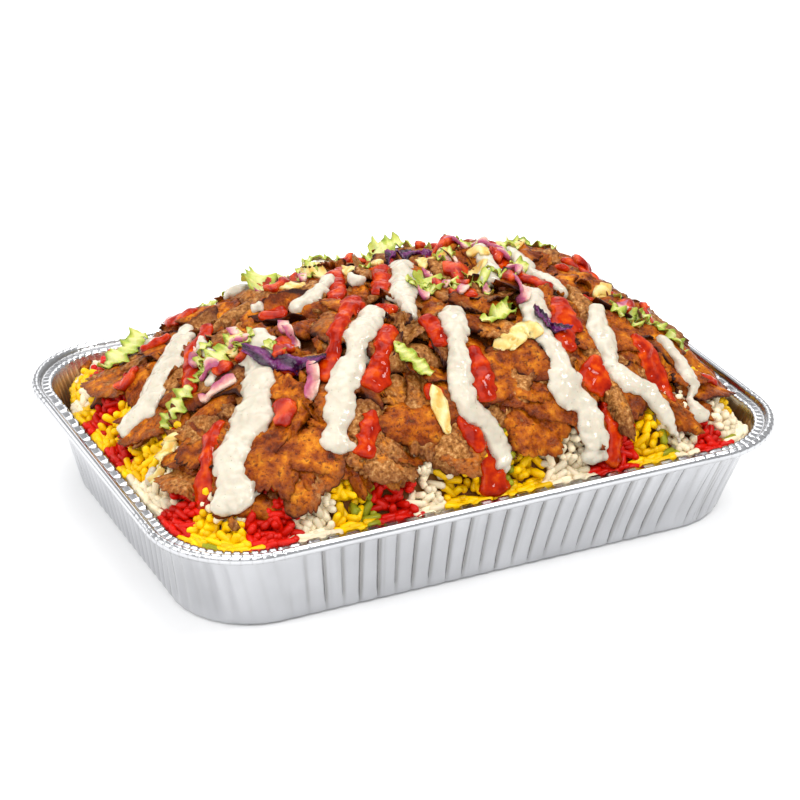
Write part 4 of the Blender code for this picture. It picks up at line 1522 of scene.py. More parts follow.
    def slices(self, rng: random.Random) -> list[Slice]:
        """Lay out the scattered slices and then the named ones, which lie on top.

        Args:
            rng: The source of unevenness.

        Returns:
            The slices, lowest first.
        """
        pieces = []
        golden = math.pi * (3 - math.sqrt(5))
        for index in range(self.scattered):
            radius = self.farthest * math.sqrt((index + 0.5) / self.scattered)
            turn = index * golden
            square = 1 / max(abs(math.cos(turn)), abs(math.sin(turn))) ** 0.75
            x = radius * square * math.cos(turn) * self.mound.rice_x
            y = radius * square * math.sin(turn) * self.mound.rice_y
            reach = self.mound.reach(x, y)
            if reach > self.farthest:
                x, y = x * self.farthest / reach, y * self.farthest / reach
            pieces.append(Slice(
                x, y, rng.uniform(0, 2 * math.pi), rng.uniform(0.020, 0.037),
                rng.uniform(0.010, 0.018), rng.choice((0.2, 0.4, 0.8, 0.9, 1.0)),
                rng.uniform(-0.0010, 0.0040), rng.uniform(0.0, 0.48), rng.gauss(0, 0.24),
                rng.uniform(-0.006, 0.008), rng.uniform(0.0003, 0.0014),
                rng.choice((0.0, 0.0, 0.15, 0.3, 0.6))))
        for x, y, heading, length, width, tone in self.named:
            pieces.append(Slice(x, y, math.radians(heading), length * self.named_share[0],
                                width * self.named_share[1], tone, 0.0044,
                                rng.uniform(0.20, 0.50), rng.gauss(0, 0.16),
                                rng.uniform(-0.006, 0.006), rng.uniform(0.0006, 0.0018),
                                rng.choice((0.0, 0.0, 0.3))))
        for x, y, heading, length, width in self.standing:
            pieces.append(Slice(x, y, math.radians(heading), length, width, 0.75, 0.0045,
                                -0.4, 0.7, 0.002, 0.0022, 0.45))
        return pieces

    def crumb(self) -> bpy.types.Object:
        """Build one small torn lump of meat, a unit across.

        Returns:
            The lump.
        """
        stack = MeshStack()
        points, rings, sides = [], [], 7
        for level, share in ((-0.35, 0.55), (-0.05, 1.0), (0.25, 0.7)):
            rings.append(list(range(len(points), len(points) + sides)))
            for index in range(sides):
                turn = 2 * math.pi * index / sides
                ragged = 1 + 0.28 * math.sin(2.7 * index + 9 * level)
                points.append((0.5 * share * ragged * math.cos(turn),
                               0.5 * share * ragged * math.sin(turn), level))
        faces = ring_faces(rings)
        faces.append(tuple(reversed(rings[0])))
        faces.append(tuple(rings[-1]))
        stack.add(np.array(points), faces)
        return stack.build("crumb")

    def chopped(self, finish: bpy.types.Material, rng: random.Random) -> bpy.types.Object:
        """Build the small torn bits between the slices.

        Args:
            finish: The material.
            rng: The source of unevenness.

        Returns:
            The dressed bits.
        """
        rows = []
        while len(rows) < self.crumbs:
            x = rng.uniform(-0.89, 0.89) * self.mound.rice_x
            y = rng.uniform(-0.89, 0.89) * self.mound.rice_y
            outward = self.mound.normal(x, y)
            long_side = rng.uniform(0.004, 0.011)
            size = Vector((long_side, long_side * rng.uniform(0.4, 0.8), rng.uniform(0.003, 0.006)))
            turn = laid(outward, rng.uniform(0, 6.3), rng.gauss(0, 0.4), rng.gauss(0, 0.4))
            rows.append((self.mound.spot(x, y, rng.uniform(-0.001, 0.0025)), turn, size,
                         rng.random()))
        places, turns, sizes, tones = zip(*rows)
        item = Scatter("meat_bits").run(places, turns, sizes, tones, self.crumb(), finish)
        return dress(item, finish, Slot.MEAT)

    def build(self) -> list[bpy.types.Object]:
        """Build and dress the core, the slices and the bits.

        Returns:
            The pieces.
        """
        rng = random.Random(self.seed)
        finish = GrilledMeat().build()
        pieces = self.slices(rng)
        # painted shade: the crumbs between the slices are painted darker
        darkened = GrilledMeat("browned meat crumbs", painted_gap_shade=0.35).build()
        made = [self.core(finish), self.chopped(darkened, rng)]
        for start in range(0, len(pieces), self.batch):
            stack = MeshStack("tone", "char")
            for piece in pieces[start:start + self.batch]:
                self.add_slice(stack, piece, rng)
            name = f"meat_slices_{start // self.batch + 1}"
            made.append(dress(stack.build(name), finish, Slot.MEAT))
        return made


def smooth_route(route: Sequence[tuple[float, ...]], spacing: float) -> np.ndarray:
    """Return points a spacing apart on a smooth curve through a route.

    Args:
        route: The points that the curve passes, each with what else changes along it.
        spacing: Distance between the returned points.

    Returns:
        One row for each point, with the route's columns.
    """
    knots = np.array(route, float)
    frame = np.vstack([2 * knots[0] - knots[1], knots, 2 * knots[-1] - knots[-2]])
    fine = []
    for part in range(len(knots) - 1):
        a, b, c, d = frame[part:part + 4]
        for t in np.linspace(0, 1, 24, endpoint=False):
            fine.append(0.5 * (2 * b + (c - a) * t + (2 * a - 5 * b + 4 * c - d) * t ** 2
                               + (3 * b - a - 3 * c + d) * t ** 3))
    fine.append(knots[-1])
    line = np.array(fine)
    steps = np.linalg.norm(np.diff(line[:, :2], axis=0), axis=1)
    travel = np.concatenate([[0], np.cumsum(steps)])
    marks = np.linspace(0, travel[-1], max(2, round(travel[-1] / spacing) + 1))
    return np.stack([np.interp(marks, travel, column) for column in line.T], 1)


def ball(sides: int, rings: int) -> tuple[np.ndarray, list[tuple[int, ...]]]:
    """Build a unit ball.

    Args:
        sides: Number of sides round its axis.
        rings: Number of bands from pole to pole.

    Returns:
        Its points and faces.
    """
    points = [(0.0, 0.0, -1.0)]
    loops = []
    for level in range(1, rings):
        lift = -math.cos(math.pi * level / rings)
        radius = math.sin(math.pi * level / rings)
        loops.append(list(range(len(points), len(points) + sides)))
        for index in range(sides):
            turn = 2 * math.pi * index / sides
            points.append((radius * math.cos(turn), radius * math.sin(turn), lift))
    points.append((0.0, 0.0, 1.0))
    faces = ring_faces(loops)
    for index in range(sides):
        following = (index + 1) % sides
        faces.append((0, loops[0][following], loops[0][index]))
        faces.append((loops[-1][index], loops[-1][following], len(points) - 1))
    return np.array(points), faces


@dataclass
class Drizzle:
    """A sauce drizzled in passes: lumps laid along each route, melted into one.

    Each pass is a route of points with an x, a y and the sauce's width there.
    """

    name: str
    slot: Slot
    terrain: Terrain
    passes: Sequence[Pass]
    height: float
    voxel: float
    seed: int
    lumps: float = 0.16
    lump_mm: float = 3.2
    lump_height: float = 0.0008
    settle: int = 5
    spread: float = 1.04
    lobes: float = 0.35

    def under(self, places: list[Vector], index: int, width: float) -> float:
        """Measure what lies under a pass, from side to side.

        Args:
            places: Points along the pass.
            index: Number of the point.
            width: The sauce's width there.

        Returns:
            The mean rise.
        """
        ahead = places[min(index + 1, len(places) - 1)] - places[max(index - 1, 0)]
        side = Vector((-ahead.y, ahead.x)).normalized() * width * 0.28
        spots = (places[index] - side, places[index], places[index] + side)
        return sum(self.terrain.rise(spot.x, spot.y) for spot in spots) / 3

    def press(self, centres: Sequence[tuple[Vector, Vector, float]]) -> None:
        """Press what lies under the sauce below its top, so that nothing pokes through.

        Args:
            centres: For each lump, its middle, its outward direction and its half width.
        """
        finder = KDTree(len(centres))
        for index, (centre, outward, half) in enumerate(centres):
            finder.insert(centre, index)
        finder.balance()
        for item in self.terrain.items:
            for vertex in item.data.vertices:
                place, index, gap = finder.find(vertex.co)
                centre, outward, half = centres[index]
                above = (vertex.co - centre).dot(outward) - 0.1 * self.height
                aside = vertex.co - centre
                aside -= outward * aside.dot(outward)
                if 0 < above < 0.016 and aside.length < half * 1.05:
                    vertex.co -= outward * above

    def add_pass(self, stack: MeshStack, one: Pass,
                 rng: random.Random) -> list[tuple[Vector, Vector, float]]:
        """Lay the lumps of one pass.

        Args:
            stack: The mesh that gets them.
            one: The pass.
            rng: The source of unevenness.

        Returns:
            For each lump, its middle, its outward direction and its half width.
        """
        points, faces = ball(12, 8)
        centres = []
        route = smooth_route(one, 0.0022)
        places = [Vector(row) for row in route[:, :2].tolist()]
        rises = np.array([self.under(places, index, route[index, 2])
                          for index in range(len(places))])
        window = np.ones(9) / 9
        even = np.convolve(np.pad(rises, 4, mode="edge"), window, mode="valid")
        level = 0.75 * even + 0.25 * rises
        wave = rng.uniform(0, 6.3)
        for index, place in enumerate(places):
            swell = 1 + self.lumps * math.sin(index * 0.75 + wave) + rng.uniform(-0.08, 0.08)
            swell *= 0.85 if index == 0 else 1.0
            half = route[index, 2] / 2 * swell * self.spread
            outward = self.terrain.mound.normal(place.x, place.y)
            ahead = places[min(index + 1, len(places) - 1)] - places[max(index - 1, 0)]
            along = Vector((ahead.x, ahead.y, 0))
            along = (along - outward * along.dot(outward)).normalized()
            side = outward.cross(along)
            tall = self.height * rng.uniform(0.88, 1.12) * min(1.0, half / 0.0035)
            jog = side * rng.uniform(-0.10, 0.10) * half
            centre = self.terrain.mound.spot(place.x, place.y, level[index] + 0.10 * tall) + jog
            shape = np.array([along * half * 0.62, side * half, outward * tall])
            stack.add(points @ shape + np.array(centre), faces)
            centres.append((centre, outward, half))
            if rng.random() < self.lobes:
                lobe = half * rng.uniform(0.28, 0.46)
                aside = centre + side * half * rng.choice((-0.92, 0.92)) - outward * 0.25 * tall
                shape = np.array([along * lobe, side * lobe, outward * tall * 0.60])
                stack.add(points @ shape + np.array(aside), faces)
        return centres

    def build(self, finish: bpy.types.Material) -> bpy.types.Object:
        """Build and dress the sauce.

        Args:
            finish: The material.

        Returns:
            The sauce.
        """
        rng = random.Random(self.seed)
        stack = MeshStack()
        centres = [centre for one in self.passes for centre in self.add_pass(stack, one, rng)]
        self.press(centres)
        item = stack.build(self.name)
        melt = item.modifiers.new("melt", "REMESH")
        melt.mode = "VOXEL"
        melt.voxel_size = self.voxel
        settle = item.modifiers.new("settle", "SMOOTH")
        settle.factor = 0.5
        settle.iterations = self.settle
        plain_mesh(item)
        roughen(item, self.lump_mm, self.lump_height)
        item.data.shade_smooth()
        return dress(item, finish, self.slot)


# the sauces' courses, read in enlarged windows of the picture
FRONT, TOP, RIGHT, LEFT = Window
WHITE_ROUTES: tuple[Route, ...] = (
    Route(((LEFT, ((815, 290, 138), (745, 380, 172), (700, 460, 188), (665, 540, 140), (650, 610, 136),
          (600, 690, 142), (540, 770, 112))),), ((-0.093, 0.033, 0.0090), (-0.101, 0.026, 0.0120))),
    Route(((LEFT, ((1215, 250, 135), (1215, 340, 145))), (FRONT, ((415, 150, 140), (402, 250, 160),
          (375, 350, 185), (335, 430, 170), (290, 500, 140), (280, 600, 135), (283, 690, 155),
          (295, 790, 200))))),
    Route(((TOP, ((380, 350, 108), (362, 420, 142), (305, 500, 122), (283, 600, 118), (235, 700, 132),
          (212, 790, 150))), (FRONT, ((825, 320, 132), (815, 420, 115), (812, 490, 165))))),
    Route(((TOP, ((788, 350, 130), (800, 440, 110), (812, 540, 97), (815, 640, 112), (815, 740, 140),
          (840, 815, 115), (880, 880, 100))), (RIGHT, ((10, 400, 112), (55, 480, 120), (100, 570, 110),
          (118, 640, 95), (140, 695, 48))))),
    Route(((TOP, ((1215, 260, 110), (1220, 340, 135), (1225, 430, 120), (1262, 500, 82),
          (1300, 550, 90))), (RIGHT, ((400, 150, 135), (410, 230, 162), (470, 290, 140), (545, 345, 120),
          (560, 460, 148), (565, 530, 120), (566, 585, 72), (575, 640, 130))))),
    Route(((TOP, ((1535, 340, 92),)), (RIGHT, ((610, -60, 122), (655, 25, 130), (668, 85, 118),
          (665, 145, 92), (740, 205, 120), (835, 265, 100), (900, 325, 90), (935, 385, 100),
          (970, 440, 82), (1005, 500, 50), (1040, 555, 28))))),
    Route(((RIGHT, ((910, 10, 65), (950, 60, 70), (990, 110, 62), (1050, 195, 90), (1085, 250, 60),
          (1082, 310, 45), (1110, 360, 85), (1130, 410, 120))),)),
    Route(((TOP, ((540, 180, 110), (540, 260, 130), (565, 335, 80), (590, 380, 50))),),
          ((0.006, 0.012, 0.0100),)),
    Route(((TOP, ((985, 135, 90), (985, 200, 110))),), ((0.046, 0.006, 0.0090),)),
    Route(((TOP, ((1220, 140, 90), (1275, 175, 75), (1345, 220, 80), (1385, 235, 60))),),
          ((0.058, 0.004, 0.0080),)),
    Route(((TOP, ((110, 260, 72), (50, 300, 90), (-20, 340, 85))),), ((-0.032, 0.008, 0.0070),)),
    Route(((LEFT, ((930, 330, 60), (985, 370, 70), (985, 430, 60), (960, 490, 60))),),
          ((-0.094, 0.012, 0.0050),)),
    Route(((TOP, ((270, 195, 70), (320, 200, 60))),)),
    Route(((LEFT, ((1190, 130, 60), (1225, 115, 55))),)),
    Route(((LEFT, ((640, 960, 60), (630, 1020, 70))),)),
)
RED_ROUTES: tuple[Route, ...] = (
    Route(((TOP, ((190, 200, 100), (195, 250, 92), (190, 295, 80))),), ((-0.018, 0.024, 0.0090),)),
    Route(((TOP, ((425, 200, 95), (415, 260, 100))),), ((-0.004, 0.014, 0.0090),)),
    Route(((TOP, ((285, 310, 95), (255, 390, 90), (210, 480, 78), (185, 560, 78), (155, 640, 90),
          (140, 700, 90))),)),
    Route(((TOP, ((400, 320, 80), (470, 370, 85))),)),
    Route(((TOP, ((460, 455, 110), (445, 530, 100), (420, 610, 85), (405, 670, 108), (370, 740, 160))),)),
    Route(((TOP, ((650, 420, 90), (700, 470, 125), (735, 520, 100))),)),
    Route(((TOP, ((900, 560, 85), (925, 660, 115), (940, 740, 110), (960, 810, 80))),)),
    Route(((TOP, ((655, 785, 95), (705, 805, 105))),)),
    Route(((TOP, ((1100, 140, 95), (1160, 180, 85), (1230, 215, 75), (1290, 245, 55))),),
          ((0.048, 0.004, 0.0090),)),
    Route(((TOP, ((1345, 320, 110), (1355, 400, 140), (1355, 490, 135), (1385, 560, 85))),)),
    Route(((RIGHT, ((560, 160, 155), (590, 210, 165), (560, 265, 80))),)),
    Route(((RIGHT, ((640, 340, 50), (650, 400, 60), (675, 460, 85), (690, 540, 95), (682, 650, 100))),)),
    Route(((RIGHT, ((770, 20, 90), (820, 70, 115), (880, 130, 145), (920, 190, 150), (965, 260, 100),
          (985, 320, 60))),)),
    Route(((RIGHT, ((30, 480, 65), (5, 560, 95), (25, 640, 90), (55, 710, 120), (75, 800, 145))),)),
    Route(((FRONT, ((1000, 340, 70), (980, 420, 78), (960, 490, 95), (955, 560, 100))),)),
    Route(((FRONT, ((235, 400, 70), (195, 470, 80), (180, 560, 75), (155, 650, 90), (135, 740, 100),
          (125, 820, 100))),)),
    Route(((LEFT, ((930, 260, 95), (880, 330, 95), (850, 390, 85), (850, 450, 95), (858, 545, 85))),),
          ((-0.088, 0.022, 0.0085),)),
    Route(((LEFT, ((750, 290, 70), (690, 330, 80), (640, 360, 60))),)),
    Route(((LEFT, ((765, 735, 60), (735, 790, 58), (700, 850, 42))),)),
    Route(((LEFT, ((1230, 170, 80), (1320, 130, 120))),)),
    Route(((FRONT, ((1440, 375, 65), (1500, 440, 90), (1540, 520, 85))),)),
    Route(((FRONT, ((540, 60, 90), (580, 110, 85))),)),
    Route(((FRONT, ((520, 290, 95), (590, 330, 90))),)),
    Route(((TOP, ((890, 200, 65), (880, 260, 75), (890, 310, 65))),)),
    Route(((TOP, ((650, 180, 75), (740, 180, 65))),)),
    Route(((TOP, ((1340, 145, 65), (1380, 165, 55))),)),
    Route(((TOP, ((1480, 270, 65), (1510, 290, 55))),)),
    Route(((RIGHT, ((1130, 230, 60), (1190, 250, 55))),)),
    Route((), ((0.094, 0.008, 0.0075), (0.101, -0.012, 0.0075), (0.113, -0.034, 0.0070))),
)


def back_passes(width: float, shift: float, reach: float, seed: int) -> list[Pass]:
    """Return the passes down the back, which repeat the front's rhythm.

    Args:
        width: Mean width of a pass.
        shift: Sideways shift of the whole row.
        reach: How far back the longest one ends.
        seed: Seed of their unevenness.

    Returns:
        The passes.
    """
    rng = random.Random(seed)
    made = []
    for index in range(6):
        x = -0.105 + 0.042 * index + shift
        bend = rng.uniform(-0.010, 0.010)
        stop = reach - rng.uniform(0.0, 0.016)
        wide = width * rng.uniform(0.85, 1.15)
        made.append(((x, 0.046, wide), (x + bend, 0.062, wide * 1.1),
                     (x - bend, 0.078, wide * 0.9), (x + 0.004, stop, wide * 1.3)))
    return made


@dataclass(frozen=True)
class Place:
    """Where a salad piece lies: its middle, heading, length and width."""

    x: float
    y: float
    heading: float
    length: float
    width: float

    @staticmethod
    def of_node(node: str, item: bpy.types.Object, scale: float) -> Place:
        """Measure a CAD node's middle, heading and size from above.

        Args:
            node: The node's name.
            item: Its object.
            scale: Share of its size that the piece takes.

        Returns:
            Where the piece lies.
        """
        low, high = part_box(node)
        flat = np.array([(vertex.co.x, vertex.co.y) for vertex in item.data.vertices])
        middle = (low + high) / 2
        spread = flat - flat.mean(axis=0)
        ways = np.linalg.eigh(spread.T @ spread)[1]
        main = ways[:, 1] * math.copysign(1.0, ways[0, 1])
        length = float(np.ptp(spread @ main))
        width = float(np.ptp(spread @ ways[:, 0]))
        return Place(middle.x, middle.y, math.atan2(main[1], main[0]), length * scale,
                     width * scale)


@dataclass
class SaladPiece:
    """A thin strip of salad laid over the terrain: a leaf, a shred or an arc."""

    name: str
    terrain: Terrain
    place: Place
    thickness: float
    wave: Callable[[float, float], float]
    edge: Callable[[float], float]
    rim: Callable[[float, float], float]
    columns: int = 30
    rows: int = 10
    bow: float = 0.10
    stiffness: int = 3

    def add_to(self, stack: MeshStack) -> None:
        """Add the strip to a stack, both faces split alike.

        Args:
            stack: The mesh that gets it.
        """
        heading = self.place.heading
        direction = Vector((math.cos(heading), math.sin(heading)))
        sideways = Vector((-direction.y, direction.x))
        bottom, rims = [], []
        for column in range(self.columns + 1):
            along = 2 * column / self.columns - 1
            half = self.place.width / 2 * self.edge(along)
            for row in range(self.rows + 1):
                across = 2 * row / self.rows - 1
                flat = direction * along * self.place.length / 2
                flat += sideways * (across * half + self.bow * self.place.length * along ** 2)
                x, y = self.place.x + flat.x, self.place.y + flat.y
                lift = self.terrain.rise(x, y) + 0.0004 + self.wave(along, across)
                bottom.append(self.terrain.mound.spot(x, y, lift))
                rims.append(self.rim(along, across))
        bottom = self.settled(bottom)
        top = [low + self.terrain.mound.normal(low.x, low.y) * self.thickness for low in bottom]
        offset = len(bottom)
        faces = []
        step = self.rows + 1
        for column in range(self.columns):
            for row in range(self.rows):
                a = column * step + row
                b, c, d = a + step, a + step + 1, a + 1
                faces.append((a, d, c, b))
                faces.append((a + offset, b + offset, c + offset, d + offset))
        rim = [column * step for column in range(self.columns + 1)]
        rim += [self.columns * step + row for row in range(1, self.rows + 1)]
        rim += [column * step + self.rows for column in range(self.columns - 1, -1, -1)]
        rim += list(range(self.rows - 1, 0, -1))
        for near, far in zip(rim, rim[1:] + rim[:1]):
            faces.append((near, far, far + offset, near + offset))
        stack.add(np.array(bottom + top), faces, rim=np.array(rims + rims))

    def settled(self, bottom: list[Vector]) -> list[Vector]:
        """Even out the steps of what lies below, as a stiff leaf bridges them.

        Args:
            bottom: The strip's lower points.

        Returns:
            The points at their new heights.
        """
        grid = np.array(bottom).reshape(self.columns + 1, self.rows + 1, 3)
        for turn in range(self.stiffness):
            wide = np.pad(grid, ((1, 1), (1, 1), (0, 0)), mode="edge")
            near = (wide[:-2, 1:-1] + wide[2:, 1:-1] + wide[1:-1, :-2] + wide[1:-1, 2:]) / 4
            grid[..., 2] = grid[..., 2] * 0.4 + near[..., 2] * 0.6
        return [Vector(point) for point in grid.reshape(-1, 3).tolist()]

    def build(self, finish: bpy.types.Material, slot: Slot, *nodes: str) -> bpy.types.Object:
        """Build and dress the strip as a piece of its own.

        Args:
            finish: The material.
            slot: The record's slot.
            *nodes: CAD nodes that it replaces.

        Returns:
            The piece.
        """
        stack = MeshStack("rim")
        self.add_to(stack)
        return dress(stack.build(self.name), finish, slot, *nodes)


@dataclass
class Salad:
    """Lettuce, cabbage, onion and tomato on top of the heap."""

    terrain: Terrain
    nodes: dict[str, bpy.types.Object]
    seed: int = 31
    # on the ridge, between these y, the far edge of a leaf stands up by so much
    ridge: Spot = (0.025, 0.065)
    standing: float = 0.0050
    leaf_share: float = 0.82
    # slot, greatest length and breadth of the small scraps of each kind
    scrap_sizes: dict[str, tuple[Slot, float, float]] = field(default_factory=lambda: {
        "lettuce": (Slot.LETTUCE, 0.013, 0.0060), "onion": (Slot.ONION, 0.012, 0.0042),
        "tomato": (Slot.TOMATO, 0.0085, 0.0070), "cheese": (Slot.WHITE, 0.016, 0.0085),
    })
    # middle, radius and number of scraps of each place where they gather
    zones: tuple[tuple[float, float, float, dict[str, int]], ...] = (
        (0.034, -0.012, 0.026, {"lettuce": 15, "onion": 9, "tomato": 6, "cheese": 5}),
        (0.055, 0.012, 0.018, {"lettuce": 3, "onion": 2, "tomato": 2, "cheese": 2}),
        (-0.094, -0.012, 0.014, {"lettuce": 7, "onion": 5, "tomato": 2, "cheese": 1}),
        (-0.066, -0.030, 0.010, {"lettuce": 2, "onion": 3, "tomato": 2}),
        (0.010, -0.028, 0.012, {"lettuce": 4, "onion": 3, "tomato": 2}),
        (-0.040, 0.030, 0.016, {"lettuce": 4, "onion": 1, "tomato": 2, "cheese": 2}),
        (0.100, -0.045, 0.018, {"lettuce": 4, "onion": 1, "tomato": 3, "cheese": 1}),
        (-0.128, -0.040, 0.008, {"cheese": 3}),
        (-0.022, -0.084, 0.003, {"cheese": 1}),
        (0.030, -0.068, 0.008, {"cheese": 3}),
        (0.000, 0.055, 0.050, {"lettuce": 8, "onion": 5, "tomato": 6, "cheese": 4}),
    )

    def leaf(self, name: str, place: Place, rng: random.Random) -> SaladPiece:
        """Shape a frilled piece of lettuce.

        Args:
            name: The piece's name.
            place: Where it lies.
            rng: The source of unevenness.

        Returns:
            The strip.
        """
        phase = rng.uniform(0, 6.3)
        frills = rng.uniform(0.0, 1.0)

        far_side = math.copysign(1.0, math.cos(place.heading))
        on_ridge = name.startswith("lettuce_") and self.ridge[0] < place.y < self.ridge[1]
        standing = self.standing if on_ridge else 0.0

        def wave(along: float, across: float) -> float:
            """Lift the frilled edges, and the far one on the ridge.

            Args:
                along: Place along the strip, from -1 to 1.
                across: Place across it, from -1 to 1.

            Returns:
                The lift.
            """
            bend = abs(across) ** 1.6
            reach = place.length * per_metre(5.4)
            frill = math.sin(math.pi * reach * along + phase + 1.4 * across)
            second = math.sin(1.7 * math.pi * reach * along + 2 * phase - 2.2 * across)
            upright = standing * (0.5 + 0.5 * across * far_side) ** 1.3
            stand = 0.0013 + 0.0006 * frills
            return stand * bend * (0.9 + frill) + 0.0011 * second + upright

        def edge(along: float) -> float:
            """Cut the leaf's outline raggedly.

            Args:
                along: Place along the strip, from -1 to 1.

            Returns:
                The share of its width that it has there.
            """
            reach = along * place.length
            cut = noise.noise(Vector((reach * per_metre(7.0), phase, 1.0)))
            lobe = noise.noise(Vector((reach * per_metre(3.6), 1.0, phase)))
            return math.sqrt(max(0.06, 1 - abs(along) ** 3.0)) * (0.90 + 0.45 * cut + 0.16 * lobe)

        def rim(along: float, across: float) -> float:
            """Return the share of the rim's colour there."""
            return 0.10 + 0.75 * abs(across) ** 1.8 + 0.1 * math.sin(5 * along + phase)

        return SaladPiece(name, self.terrain, place, 0.0005, wave, edge, rim, 44, 12, 0.06, 4)

    def shred(self, name: str, place: Place, rng: random.Random) -> SaladPiece:
        """Shape a shred of red cabbage, ridged along its length.

        Args:
            name: The piece's name.
            place: Where it lies.
            rng: The source of unevenness.

        Returns:
            The strip.
        """
        phase = rng.uniform(0, 6.3)

        def wave(along: float, across: float) -> float:
            """Fold the shred along its length and lift its ends.

            Args:
                along: Place along the strip, from -1 to 1.
                across: Place across it, from -1 to 1.

            Returns:
                The lift.
            """
            wrinkle = math.sin(place.length * per_metre(2.2) * math.pi * along + 2 * across)
            fold = math.cos(7.0 * across + 0.8 * math.sin(4 * along + phase))
            return (0.0022 * along ** 2 + 0.0008 * fold
                    + 0.0006 * wrinkle + 0.0008 * math.sin(5 * along + phase))

        def edge(along: float) -> float:
            """Return the share of its width that the strip has there."""
            return 0.8 * (1 - 0.75 * abs(along) ** 4) * (1 + 0.16 * math.sin(11 * along + phase))

        def rim(along: float, across: float) -> float:
            """Return the share of the rim's colour there."""
            return 0.45 + 0.35 * math.sin(6 * along + 3 * across + phase)

        return SaladPiece(name, self.terrain, place, 0.0012, wave, edge, rim, 60, 10, 0.12)

    def arc(self, name: str, place: Place, rng: random.Random) -> SaladPiece:
        """Shape a short arc of onion.

        Args:
            name: The piece's name.
            place: Where it lies.
            rng: The source of unevenness.

        Returns:
            The strip.
        """
        phase = rng.uniform(0, 6.3)

        def wave(along: float, across: float) -> float:
            """Return how far the strip is lifted there."""
            return 0.0010 * (1 - along ** 2) + 0.0004 * across

        def edge(along: float) -> float:
            """Return the share of its width that the strip has there."""
            return 1 - 0.5 * abs(along) ** 5

        def rim(along: float, across: float) -> float:
            """Return the share of the rim's colour there."""
            return 0.5 + 0.45 * across + 0.1 * math.sin(4 * along + phase)

        return SaladPiece(name, self.terrain, place, 0.0020, wave, edge, rim, 18, 6, 0.07)

    def dice(self, name: str, place: Place, rng: random.Random) -> SaladPiece:
        """Shape a cut piece of tomato, rounded at its edges.

        Args:
            name: The piece's name.
            place: Where it lies.
            rng: The source of unevenness.

        Returns:
            The strip.
        """
        phase = rng.uniform(0, 6.3)

        def wave(along: float, across: float) -> float:
            """Return how far the strip is lifted there."""
            return -0.0015 * (along ** 4 + across ** 4) / 2 + 0.0003 * math.sin(5 * along + phase)

        def edge(along: float) -> float:
            """Return the share of its width that the strip has there."""
            ragged = noise.noise(Vector((2.2 * along, phase, 3.0)))
            return (1 - 0.35 * abs(along) ** 4) * (0.92 + 0.35 * ragged)

        def rim(along: float, across: float) -> float:
            """Return the share of the rim's colour there."""
            return 0.5 + 0.4 * math.sin(3 * along + 2 * across + phase)

        return SaladPiece(name, self.terrain, place, 0.0032, wave, edge, rim, 14, 10, 0.0)

    def build(self) -> None:
        """Build and dress each salad piece in place of its CAD node."""
        rng = random.Random(self.seed)
        finishes = {
            "lettuce": CutLeaf().build(),
            "cabbage": CutLeaf("red cabbage", "#6E2064", "#42083A", "#1E041E", 0.16, 1.2,
                               sheen=0.5).build(),
            "onion": CutLeaf("red onion", "#DDBCAA", "#CC9088", "#A44C6C", 0.24, 2.0).build(),
            "tomato": CutLeaf("tomato flesh", "#CC4C14", "#B42806", "#901404", 0.14, 1.8).build(),
            "cheese": CutLeaf("melted cheese", "#DDD2A0", "#D9C078", "#D0A044", 0.20, 3.6).build(),
        }
        makers = {"lettuce": self.leaf, "cabbage": self.shred, "onion": self.arc,
                  "tomato": self.dice}
        for node in sorted(self.nodes):
            kind = node.rsplit("_", 1)[0]
            if kind not in makers:
                continue
            share = self.leaf_share if kind == "lettuce" else 1.0
            place = Place.of_node(node, self.nodes[node], share)
            piece = makers[kind](f"{kind}_piece_{node.rsplit('_', 1)[1]}", place, rng)
            piece.build(finishes[kind], Slot(kind), node)
        self.scraps(makers, finishes, rng)

    def scraps(self, makers: dict[str, Callable], finishes: dict[str, bpy.types.Material],
               rng: random.Random) -> None:
        """Build the small scraps mixed in where the salad is thick, joined for each kind.

        Args:
            makers: The maker of each kind's strips.
            finishes: Each kind's material.
            rng: The source of unevenness.
        """
        for kind, (slot, longest, broad) in self.scrap_sizes.items():
            stack = MeshStack("rim")
            maker = makers.get(kind, self.smear)
            for x, y, radius, counts in self.zones:
                for index in range(counts.get(kind, 0)):
                    turn, gap = rng.uniform(0, 6.3), radius * math.sqrt(rng.random())
                    length = longest * rng.uniform(0.6, 1.0)
                    place = Place(x + gap * math.cos(turn), y + gap * math.sin(turn),
                                  rng.uniform(0, 3.2), length, broad * rng.uniform(0.7, 1.1))
                    scrap = maker(kind, place, rng)
                    scrap.columns = max(6, scrap.columns // 2)
                    scrap.rows = max(4, scrap.rows // 2)
                    scrap.add_to(stack)
            dress(stack.build(f"{kind}_scraps"), finishes[kind], slot)

    def smear(self, name: str, place: Place, rng: random.Random) -> SaladPiece:
        """Shape a soft smear of melted cheese.

        Args:
            name: The piece's name.
            place: Where it lies.
            rng: The source of unevenness.

        Returns:
            The strip.
        """
        phase = rng.uniform(0, 6.3)

        def wave(along: float, across: float) -> float:
            """Round the smear's top, with soft ripples.

            Args:
                along: Place along the strip, from -1 to 1.
                across: Place across it, from -1 to 1.

            Returns:
                The lift.
            """
            dome = 1 - 0.5 * (along ** 2 + across ** 2)
            ripple = math.sin(6 * along + 3 * across + phase) + math.sin(9 * across - 4 * along)
            return 0.0012 * dome + 0.0004 * ripple - 0.0010

        def edge(along: float) -> float:
            """Return the share of its width that the strip has there."""
            ends = math.sqrt(max(0.04, 1 - along ** 2))
            return ends * (0.85 + 0.5 * noise.noise(Vector((2.5 * along, phase, 7.0))))

        def rim(along: float, across: float) -> float:
            """Return the share of the rim's colour there."""
            return 0.25 + 0.5 * math.sin(2.5 * along + 1.5 * across + phase) ** 2

        return SaladPiece(name, self.terrain, place, 0.0016, wave, edge, rim, 24, 12, 0.03)


